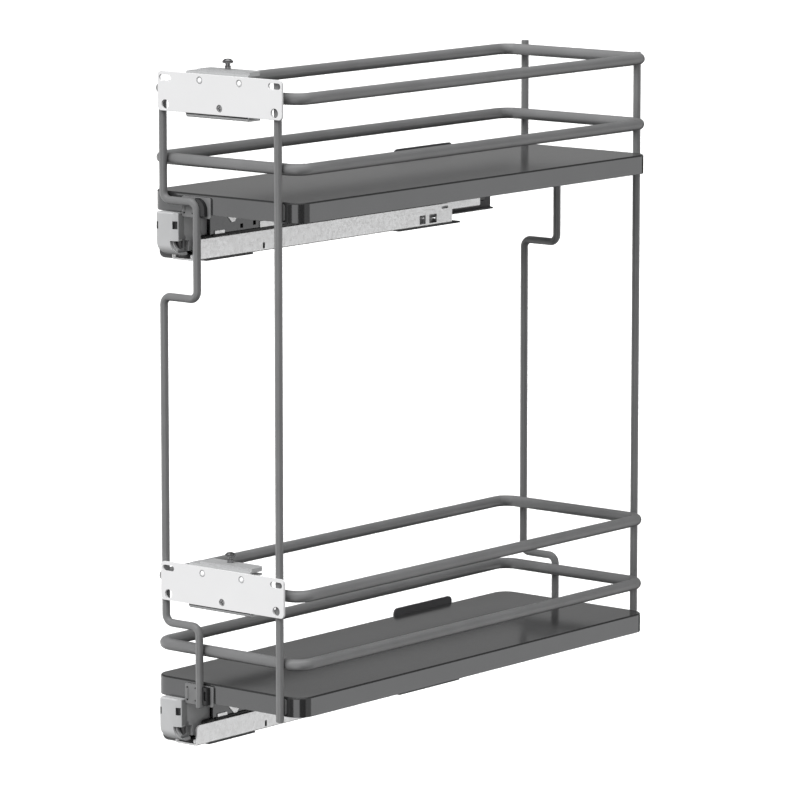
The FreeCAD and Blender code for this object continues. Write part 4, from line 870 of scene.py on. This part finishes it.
@dataclass
class Basket:
    """The basket: two trays, four rings, the upright wires and what joins them."""

    tier_rise: float = 401.6 * MM
    tray_base: float = 20.0 * MM
    front_step: float = 63.0 * MM
    rear_step: float = 53.0 * MM
    return_drop: float = 69.1 * MM
    upper_step: float = 9.9 * MM
    wire_reach: float = 9.0 * MM
    mark_inset: float = 2.6 * MM
    mark_pitch: float = 9.0 * MM
    mark_levels: tuple[float, float] = (3.6 * MM, 13.4 * MM)
    mark_depth: float = 0.6 * MM
    mark_radius: float = 1.0 * MM
    mark_thick: float = 0.3 * MM
    mark_edge: float = 0.05 * MM
    clip: SolidCopy = SolidCopy("front_clip", FINE_COAT, 0.25 * MM)
    copies: tuple[SolidCopy, ...] = (
        SolidCopy("rear_clip", FINE_COAT, 0.25 * MM),
        SolidCopy("wire_saddle", BLACK_PLASTIC, 0.5 * MM, 3),
        SolidCopy("front_spacer", FINE_COAT, 0.3 * MM),
        SolidCopy("rear_spacer", FINE_COAT, 0.3 * MM),
    )

    def build(self) -> None:
        """Makes every piece of the basket."""
        upper_base = self.tray_base + self.tier_rise
        wires = (("front_left_wire", self.front_step), ("rear_left_wire", self.rear_step))
        for node, step in wires:
            levels = (self.tray_base + step, upper_base - self.return_drop,
                      upper_base + self.upper_step)
            UprightWire(node).build(levels)
        UprightWire("front_right_wire", taller=self.wire_reach).build()
        UprightWire("rear_right_wire").build()
        for tier in Tier:
            word = tier.value + "_"
            Tray(word + "tray").build()
            Ring(word + "middle_ring").build()
            Ring(word + "top_ring").build()
            self.clip.build(word)
            self.clip_marks(word)
            for copy in self.copies:
                copy.build(word)

    def clip_marks(self, word: str) -> None:
        """Makes the dark press marks at the ends of a front clip's bridges.

        Args:
            word: what the tier's names start with.
        """
        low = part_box(word + "front_clip")[0]
        work = bmesh.new()
        for across in (self.mark_inset, self.mark_inset + self.mark_pitch):
            for up in self.mark_levels:
                at = low + Vector((across, self.mark_depth, up))
                disc(work, at, self.mark_radius, self.mark_thick, self.mark_edge)
        finished(work, word + "clip_marks", BLACK_PLASTIC, body_of(word + "front_clip"))


@dataclass
class Runner:
    """The full-extension runner of a tier, with its bracket, soft-close unit and catch."""

    tier: Tier
    catch_rise: float = 14.9 * MM
    catch_reach: float = 6.0 * MM
    corner_across: float = 9.0 * MM
    corner_up: float = 12.0 * MM
    corner_cuts: int = 7
    cup_radius: float = 9.0 * MM
    cup_wall: float = 1.65 * MM
    cup_depth: float = 3.2 * MM
    cup_drop: float = 4.2 * MM
    cup_thick: float = 2.0 * MM
    cup_edge: float = 0.1 * MM
    cup_top: float = 0.3 * MM
    tongue_side: float = 3.72
    tongue_thick: float = 0.7 * MM
    tongue_lift: float = 8.0
    tongue_outline: tuple[tuple[float, float], ...] = ((49.0, -13.0), (66.5, -13.0),
                                                       (60.5, -20.4), (57.0, -20.8))
    copies: tuple[SolidCopy, ...] = (
        SolidCopy("wall_bracket", DARK_COAT, 0.3 * MM),
        SolidCopy("cabinet_rail", GALVANISED, 0.3 * MM),
        SolidCopy("middle_rail", GALVANISED, 0.25 * MM),
        SolidCopy("drawer_rail", GALVANISED, 0.25 * MM),
        SolidCopy("tray_carrier", CARRIER_COAT, 0.3 * MM),
        SolidCopy("rail_end_cap", BLACK_PLASTIC, 0.3 * MM),
        SolidCopy("outer_roller_cage", BLACK_PLASTIC, 0.0),
        SolidCopy("inner_roller_cage", BLACK_PLASTIC, 0.0),
        SolidCopy("soft_close_housing", DARK_PLASTIC, 0.4 * MM),
        SolidCopy("soft_close_slider", LIGHT_PLASTIC, 0.3 * MM),
        SolidCopy("drive_pin", ZINC_PLATE, 0.2 * MM),
        SolidCopy("catch_housing", LIGHT_PLASTIC, 0.4 * MM),
        SolidCopy("release_lever", GREY_PLASTIC, 0.2 * MM),
    )
    # Painted shade: black blocks fill the catch's front and side window pockets to show them dark.
    window_shade: Block = Block("catch_window_shade", BLACK_PLASTIC, (-4.75, 0.5, -13.25),
                          (-0.45, 1.5, -6.95), 0.1, 0.44)
    side_window_shade: Block = Block("catch_side_window_shade", BLACK_PLASTIC, (-0.05, -0.05, -14.0),
                               (1.6, 1.0, -8.0), 0.1)
    # Painted shade: a darker grey strip gives the dark band beside the catch's rounded front
    # corner.
    shade_strip: Block = Block("catch_side_shade", GREY_PLASTIC, (-0.6, 2.9, -21.5), (0.12, 9.0, -0.8), 0.1)
    moving: tuple[Block, ...] = (
        Block("front_buffer", BLACK_PLASTIC, (0.3, 19.0, -31.0), (4.4, 35.9, -20.4), 2.0),
        # Painted shade: a thin black strip in the gap between the carrier and the cabinet rail.
        Block("rail_gap_shade", BLACK_PLASTIC, (4.52, 33.0, -22.7), (4.85, 336.0, -20.6), 0.1),
    )
    standing: tuple[Block, ...] = (
        Block("channel_stop", BLACK_PLASTIC, (-13.5, 9.0, -38.45), (1.8, 20.0, -34.8), 0.5),
        Block("wall_curl", GALVANISED, (-15.9, 8.1, -38.4), (-13.7, 12.0, -33.4), 0.7),
        Block("inboard_curl", GALVANISED, (2.0, 8.1, -38.4), (4.9, 12.0, -34.9), 0.7),
    )

    def build(self) -> None:
        """Makes every piece of the runner."""
        word = self.tier.value + "_"
        reshapes = {"catch_housing": self.round_corner}
        for copy in self.copies:
            copy.build(word, reshapes.get(copy.suffix))
        low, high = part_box(word + "catch_housing")
        underside = high.z - self.catch_rise
        inboard = Vector((high.x, low.y, underside))
        outboard = Vector((low.x, low.y, underside))
        front = inboard + Y_WAY * self.catch_reach
        rides, rail = body_of(word + "catch_housing"), body_of(word + "cabinet_rail")
        self.window_shade.build(word, rides, inboard)
        self.side_window_shade.build(word, rides, outboard)
        self.shade_strip.build(word, rides, inboard)
        for block in self.moving:
            block.build(word, rides, front)
        for block in self.standing:
            block.build(word, rail, front)
        self.cup_shade(word)
        self.tongue(word, front)

    def round_corner(self, work: bmesh.types.BMesh) -> None:
        """Cuts the catch's lower outboard corner to a round one.

        Args:
            work: the catch's mesh.
        """
        low = Vector([min(vert.co[axis] for vert in work.verts) for axis in range(3)])
        across, up = self.corner_across, self.corner_up
        centre = low + Vector((across, 0.0, up))
        for number in range(self.corner_cuts):
            angle = math.pi / 2 * (number + 0.5) / self.corner_cuts
            outward = Vector((across * math.cos(angle), 0.0, up * math.sin(angle)))
            slope = Vector((math.cos(angle) / across, 0.0, math.sin(angle) / up))
            cut_off(work, centre - outward, -slope.normalized())

    def cup_shade(self, word: str) -> None:
        """Makes a black disc on the release lever's cup floor, painted shade for the shaded cup.

        Args:
            word: what the tier's names start with.
        """
        low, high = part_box(word + "release_lever")
        centre = Vector((low.x + self.cup_radius, low.y + self.cup_depth, high.z - self.cup_drop))
        work = bmesh.new()
        disc(work, centre, self.cup_radius - self.cup_wall, self.cup_thick, self.cup_edge)
        cut_off(work, Vector((high.x - self.cup_edge, 0.0, 0.0)), X_WAY)
        cut_off(work, centre - Z_WAY * self.cup_top, Z_WAY)
        # The black disc is painted shade in the lever's cup.
        finished(work, word + "lever_cup_shade", BLACK_PLASTIC, body_of(word + "release_lever"))

    def tongue(self, word: str, at: Vector) -> None:
        """Makes the bright tongue of the drawer rail that hooks into the carrier.

        Args:
            word: what the tier's names start with.
            at: the basket's front beside the catch, at the tray's underside.
        """
        work = bmesh.new()
        lift = self.tongue_lift if self.tier is Tier.UPPER else 0.0
        outline = [work.verts.new(at + Vector((self.tongue_side, y, z + lift)) * MM)
                   for y, z in self.tongue_outline]
        face = bmesh.ops.contextual_create(work, geom=outline)["faces"][0]
        raised = bmesh.ops.extrude_face_region(work, geom=[face])["geom"]
        bmesh.ops.translate(work, verts=new_verts(raised), vec=X_WAY * self.tongue_thick)
        finished(work, word + "rail_tongue", GALVANISED, body_of(word + "drawer_rail"))


@dataclass
class DoorMount:
    """The adjustable mount of a tier that the cabinet's door front is screwed to."""

    tier: Tier
    flange_height: float = 3.0 * MM
    flange_drop: float = 2.0 * MM
    boss_reach: float = 21.0 * MM
    boss_rise: float = 10.7 * MM
    pin_radius: float = 2.05 * MM
    pin_length: float = 1.7 * MM
    pin_depth: float = 0.86 * MM
    pin_edge: float = 0.5 * MM
    # Painted shade: a thin black strip in the gap between the door plate and the carriage's
    # flange.
    gap_shade: Block = Block("plate_gap_shade", BLACK_PLASTIC, (28.6, 1.85, -1.3), (94.4, 2.25, 0.1), 0.05)
    copies: tuple[SolidCopy, ...] = (
        SolidCopy("ring_holder", ZINC_PLATE, 0.25 * MM),
        SolidCopy("door_carriage", ZINC_PLATE, 0.25 * MM),
        SolidCopy("door_plate", WHITE_COAT, 0.3 * MM),
        SolidCopy("clamp_screw", SCREW_STEEL, 0.15 * MM),
        SolidCopy("height_screw", SCREW_STEEL, 0.2 * MM),
    )

    def build(self) -> None:
        """Makes every piece of the door mount."""
        word = self.tier.value + "_"
        reshapes = {"door_carriage": self.lower_flange}
        for copy in self.copies:
            copy.build(word, reshapes.get(copy.suffix))
        low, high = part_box(word + "door_plate")
        rides = body_of(word + "door_plate")
        work = bmesh.new()
        middle = (low + high) / 2
        for side in (-1, 1):
            at = Vector((middle.x + side * self.boss_reach, low.y + self.pin_depth,
                         middle.z + self.boss_rise))
            disc(work, at, self.pin_radius, self.pin_length, self.pin_edge)
        finished(work, word + "boss_pins", PIN_COAT, rides)
        self.gap_shade.build(word, rides, low)

    def lower_flange(self, work: bmesh.types.BMesh) -> None:
        """Lets the carriage's lower flange show below the door plate.

        Args:
            work: the carriage's mesh.
        """
        low = min(vert.co.z for vert in work.verts)
        verts = [vert for vert in work.verts if vert.co.z < low + self.flange_height]
        bmesh.ops.translate(work, verts=verts, vec=-Z_WAY * self.flange_drop)


def away(azimuth: float, elevation: float) -> Vector:
    """Returns the way from the basket to a place.

    Args:
        azimuth: the place's azimuth, in degrees from the front towards +X.
        elevation: how high it stands, in degrees.

    Returns:
        The way, one metre long.
    """
    a, e = math.radians(azimuth), math.radians(elevation)
    return Vector((math.sin(a) * math.cos(e), -math.cos(a) * math.cos(e), math.sin(e)))


@dataclass(frozen=True)
class KeyLight:
    """The broad key light, which the gloss doesn't show."""

    azimuth: float = -8.0
    elevation: float = 48.0
    strength: float = 3.5
    width: float = 40.0

    def hang(self) -> None:
        """Adds the light to the scene."""
        data = bpy.data.lights.new("key_light", "SUN")
        data.energy = self.strength
        data.angle = math.radians(self.width)
        light = bpy.data.objects.new("key_light", data)
        way = away(self.azimuth, self.elevation)
        light.rotation_euler = way.to_track_quat("Z", "Y").to_euler()
        light.visible_glossy = False
        bpy.context.scene.collection.objects.link(light)


@dataclass(frozen=True)
class SoftBox:
    """A square soft box that looks at the basket, and that the gloss doesn't show."""

    name: str
    at: Triple
    side: float
    power: float
    aim: Triple = (0.08, 0.0, 0.28)

    def hang(self) -> None:
        """Adds the soft box to the scene."""
        data = bpy.data.lights.new(self.name, "AREA")
        data.shape = "SQUARE"
        data.size = self.side
        data.energy = self.power
        light = bpy.data.objects.new(self.name, data)
        light.location = self.at
        way = Vector(self.aim) - Vector(self.at)
        light.rotation_euler = way.to_track_quat("-Z", "Y").to_euler()
        light.visible_glossy = False
        bpy.context.scene.collection.objects.link(light)


@dataclass(frozen=True)
class Band:
    """A stretch of the studio's walls, by azimuth in degrees, and how bright it is."""

    start: float
    stop: float
    light: float


@dataclass
class Studio:
    """Pale floor, soft light all round with dark flags for the gloss, and the camera."""

    eye: Triple = (2.84965, -3.34244, 0.93723)
    azimuth: float = 39.377
    elevation: float = 9.019
    lens: float = 236.3
    sensor: float = 36.0
    near: float = 0.1
    far: float = 200.0
    drop: float = 0.32
    floor_radius: float = 60.0
    floor_sides: int = 96
    floor_rough: float = 0.9
    floor_gloss: float = 0.1
    floor_grain: float = 0.5
    floor_shades: tuple[Triple, Triple] = ((0.93, 0.93, 0.93), (0.95, 0.95, 0.95))
    low_light: float = 0.28
    high_light: float = 0.75
    light_blend: float = 0.1
    sky_start: float = 0.03
    key: KeyLight = KeyLight()
    fill: SoftBox = SoftBox("right_soft_box", (3.0, 1.2, 1.8), 2.0, 26.0)
    fade: float = 1.0
    bands: tuple[Band, ...] = (
        Band(-180, -120, 0.02), Band(-120, -36, 1.0), Band(-36, 4, 0.02), Band(4, 45, 0.9),
        Band(45, 87, 0.02), Band(87, 130, 0.3), Band(130, 166, 1.0), Band(166, 180, 0.02))
    sky: tuple[tuple[float, float], ...] = (
        (0.0, 0.3), (0.28, 0.3), (0.36, 0.08), (0.8, 0.1), (0.92, 0.9))

    def camera(self) -> None:
        """Sets the camera where the photograph was taken from."""
        data = bpy.data.cameras.new("camera")
        data.lens = self.lens
        data.sensor_width = self.sensor
        data.clip_start = self.near
        data.clip_end = self.far
        camera = bpy.data.objects.new("camera", data)
        back = away(self.azimuth, self.elevation)
        a = math.radians(self.azimuth)
        right = Vector((math.cos(a), math.sin(a), 0.0))
        turn = Matrix((right, back.cross(right), back)).transposed().to_4x4()
        camera.matrix_world = Matrix.Translation(Vector(self.eye)) @ turn
        bpy.context.scene.collection.objects.link(camera)
        bpy.context.scene.camera = camera

    def floor(self) -> None:
        """Lays a pale floor below the basket, which hangs on a cabinet's side."""
        work = bmesh.new()
        bmesh.ops.create_circle(work, cap_ends=True, segments=self.floor_sides,
                                radius=self.floor_radius)
        bmesh.ops.translate(work, verts=work.verts, vec=Z_WAY * (CAD_BOX[0].z - self.drop))
        mesh = bpy.data.meshes.new("floor")
        work.to_mesh(mesh)
        work.free()
        floor = bpy.data.objects.new("floor", mesh)
        bpy.context.scene.collection.objects.link(floor)
        material = bpy.data.materials.new("pale_floor")
        material.use_nodes = True
        graph = Graph(material.node_tree)
        shader = graph.add("BsdfPrincipled")
        shader.inputs["Roughness"].default_value = self.floor_rough
        shader.inputs["Specular IOR Level"].default_value = self.floor_gloss
        at = graph.add("TexCoord").outputs["Object"]
        cloud = graph.spread(graph.noise(at, self.floor_grain), 0.0, 1.0)
        graph.link(graph.between(cloud, *self.floor_shades), shader.inputs["Base Color"])
        graph.link(shader.outputs["BSDF"], graph.add("OutputMaterial").inputs["Surface"])
        mesh.materials.append(material)
        floor.visible_glossy = False
        floor.visible_diffuse = False

    def walls(self) -> None:
        """Lights the world: white to the eye, soft from above, and flagged for the gloss."""
        world = bpy.data.worlds.new("studio_walls")
        bpy.context.scene.world = world
        world.use_nodes = True
        graph = Graph(world.node_tree)
        split = graph.add("SeparateXYZ")
        graph.link(graph.add("TexCoord").outputs["Generated"], split.inputs["Vector"])
        height = split.outputs["Z"]
        ramp = self.ramp(graph, self.azimuth_share(graph, split), self.wall_stops())
        level = self.ramp(graph, height, list(self.sky))
        gloss = graph.add("Mix", data_type="RGBA")
        graph.link(graph.spread(height, 0.0, 1.0, 0.0, self.sky_start), gloss.inputs[0])
        graph.link(ramp, gloss.inputs[COLOUR_A])
        graph.link(level, gloss.inputs[COLOUR_B])
        path = graph.add("LightPath")
        lit = graph.add("Mix", data_type="FLOAT")
        graph.link(path.outputs["Is Glossy Ray"], lit.inputs[0])
        soft = graph.spread(height, self.low_light, self.high_light, -self.light_blend,
                            self.light_blend)
        graph.link(soft, lit.inputs[NUMBER_A])
        graph.link(gloss.outputs[COLOUR_OUT], lit.inputs[NUMBER_B])
        seen = graph.add("Mix", data_type="FLOAT")
        graph.link(path.outputs["Is Camera Ray"], seen.inputs[0])
        graph.link(lit.outputs[0], seen.inputs[NUMBER_A])
        seen.inputs[NUMBER_B].default_value = 1.0
        back = graph.add("Background")
        back.inputs["Color"].default_value = (1.0, 1.0, 1.0, 1.0)
        graph.link(seen.outputs[0], back.inputs["Strength"])
        graph.link(back.outputs["Background"], graph.add("OutputWorld").inputs["Surface"])

    def azimuth_share(self, graph: Graph, split: bpy.types.Node) -> Socket:
        """Finds the azimuth of a way in the world, as a share of the circle.

        Args:
            graph: the world's tree.
            split: the node that gives the way's parts.

        Returns:
            The share, which is a half at the front.
        """
        flipped = graph.add("Math", operation="MULTIPLY")
        flipped.inputs[1].default_value = -1.0
        graph.link(split.outputs["Y"], flipped.inputs[0])
        turn = graph.add("Math", operation="ARCTAN2")
        graph.link(split.outputs["X"], turn.inputs[0])
        graph.link(flipped.outputs[0], turn.inputs[1])
        return graph.spread(turn.outputs[0], 0.0, 1.0, -math.pi, math.pi)

    def wall_stops(self) -> list[tuple[float, float]]:
        """Returns the low walls' places round the circle, from 0 to 1, and their brightness."""
        stops = []
        for band in self.bands:
            for azimuth in (band.start + self.fade, band.stop - self.fade):
                stops.append(((azimuth + 180.0) / 360.0, band.light))
        return stops

    def ramp(self, graph: Graph, share: Socket, stops: list[tuple[float, float]]) -> Socket:
        """Adds a ramp of brightnesses.

        Args:
            graph: the world's tree.
            share: the place on the ramp.
            stops: places on the ramp and the brightness at each.

        Returns:
            The ramp's colour.
        """
        node = graph.add("ValToRGB")
        node.color_ramp.interpolation = "LINEAR"
        elements = node.color_ramp.elements
        while len(elements) > 1:
            elements.remove(elements[-1])
        for number, (place, light) in enumerate(stops):
            element = elements[0] if number == 0 else elements.new(place)
            element.position = place
            element.color = (light, light, light, 1.0)
        graph.link(share, node.inputs["Fac"])
        return node.outputs["Color"]

    def build(self) -> None:
        """Makes the whole studio."""
        self.camera()
        self.floor()
        self.walls()
        self.key.hang()
        self.fill.hang()
        bpy.context.scene.view_settings.view_transform = "Standard"


def main() -> None:
    """Builds the studio and every sub-assembly in order."""
    logging.basicConfig(level=logging.INFO, format="%(message)s")
    Studio().build()
    Basket().build()
    for tier in Tier:
        Runner(tier).build()
        DoorMount(tier).build()


if __name__ == "__main__":
    main()
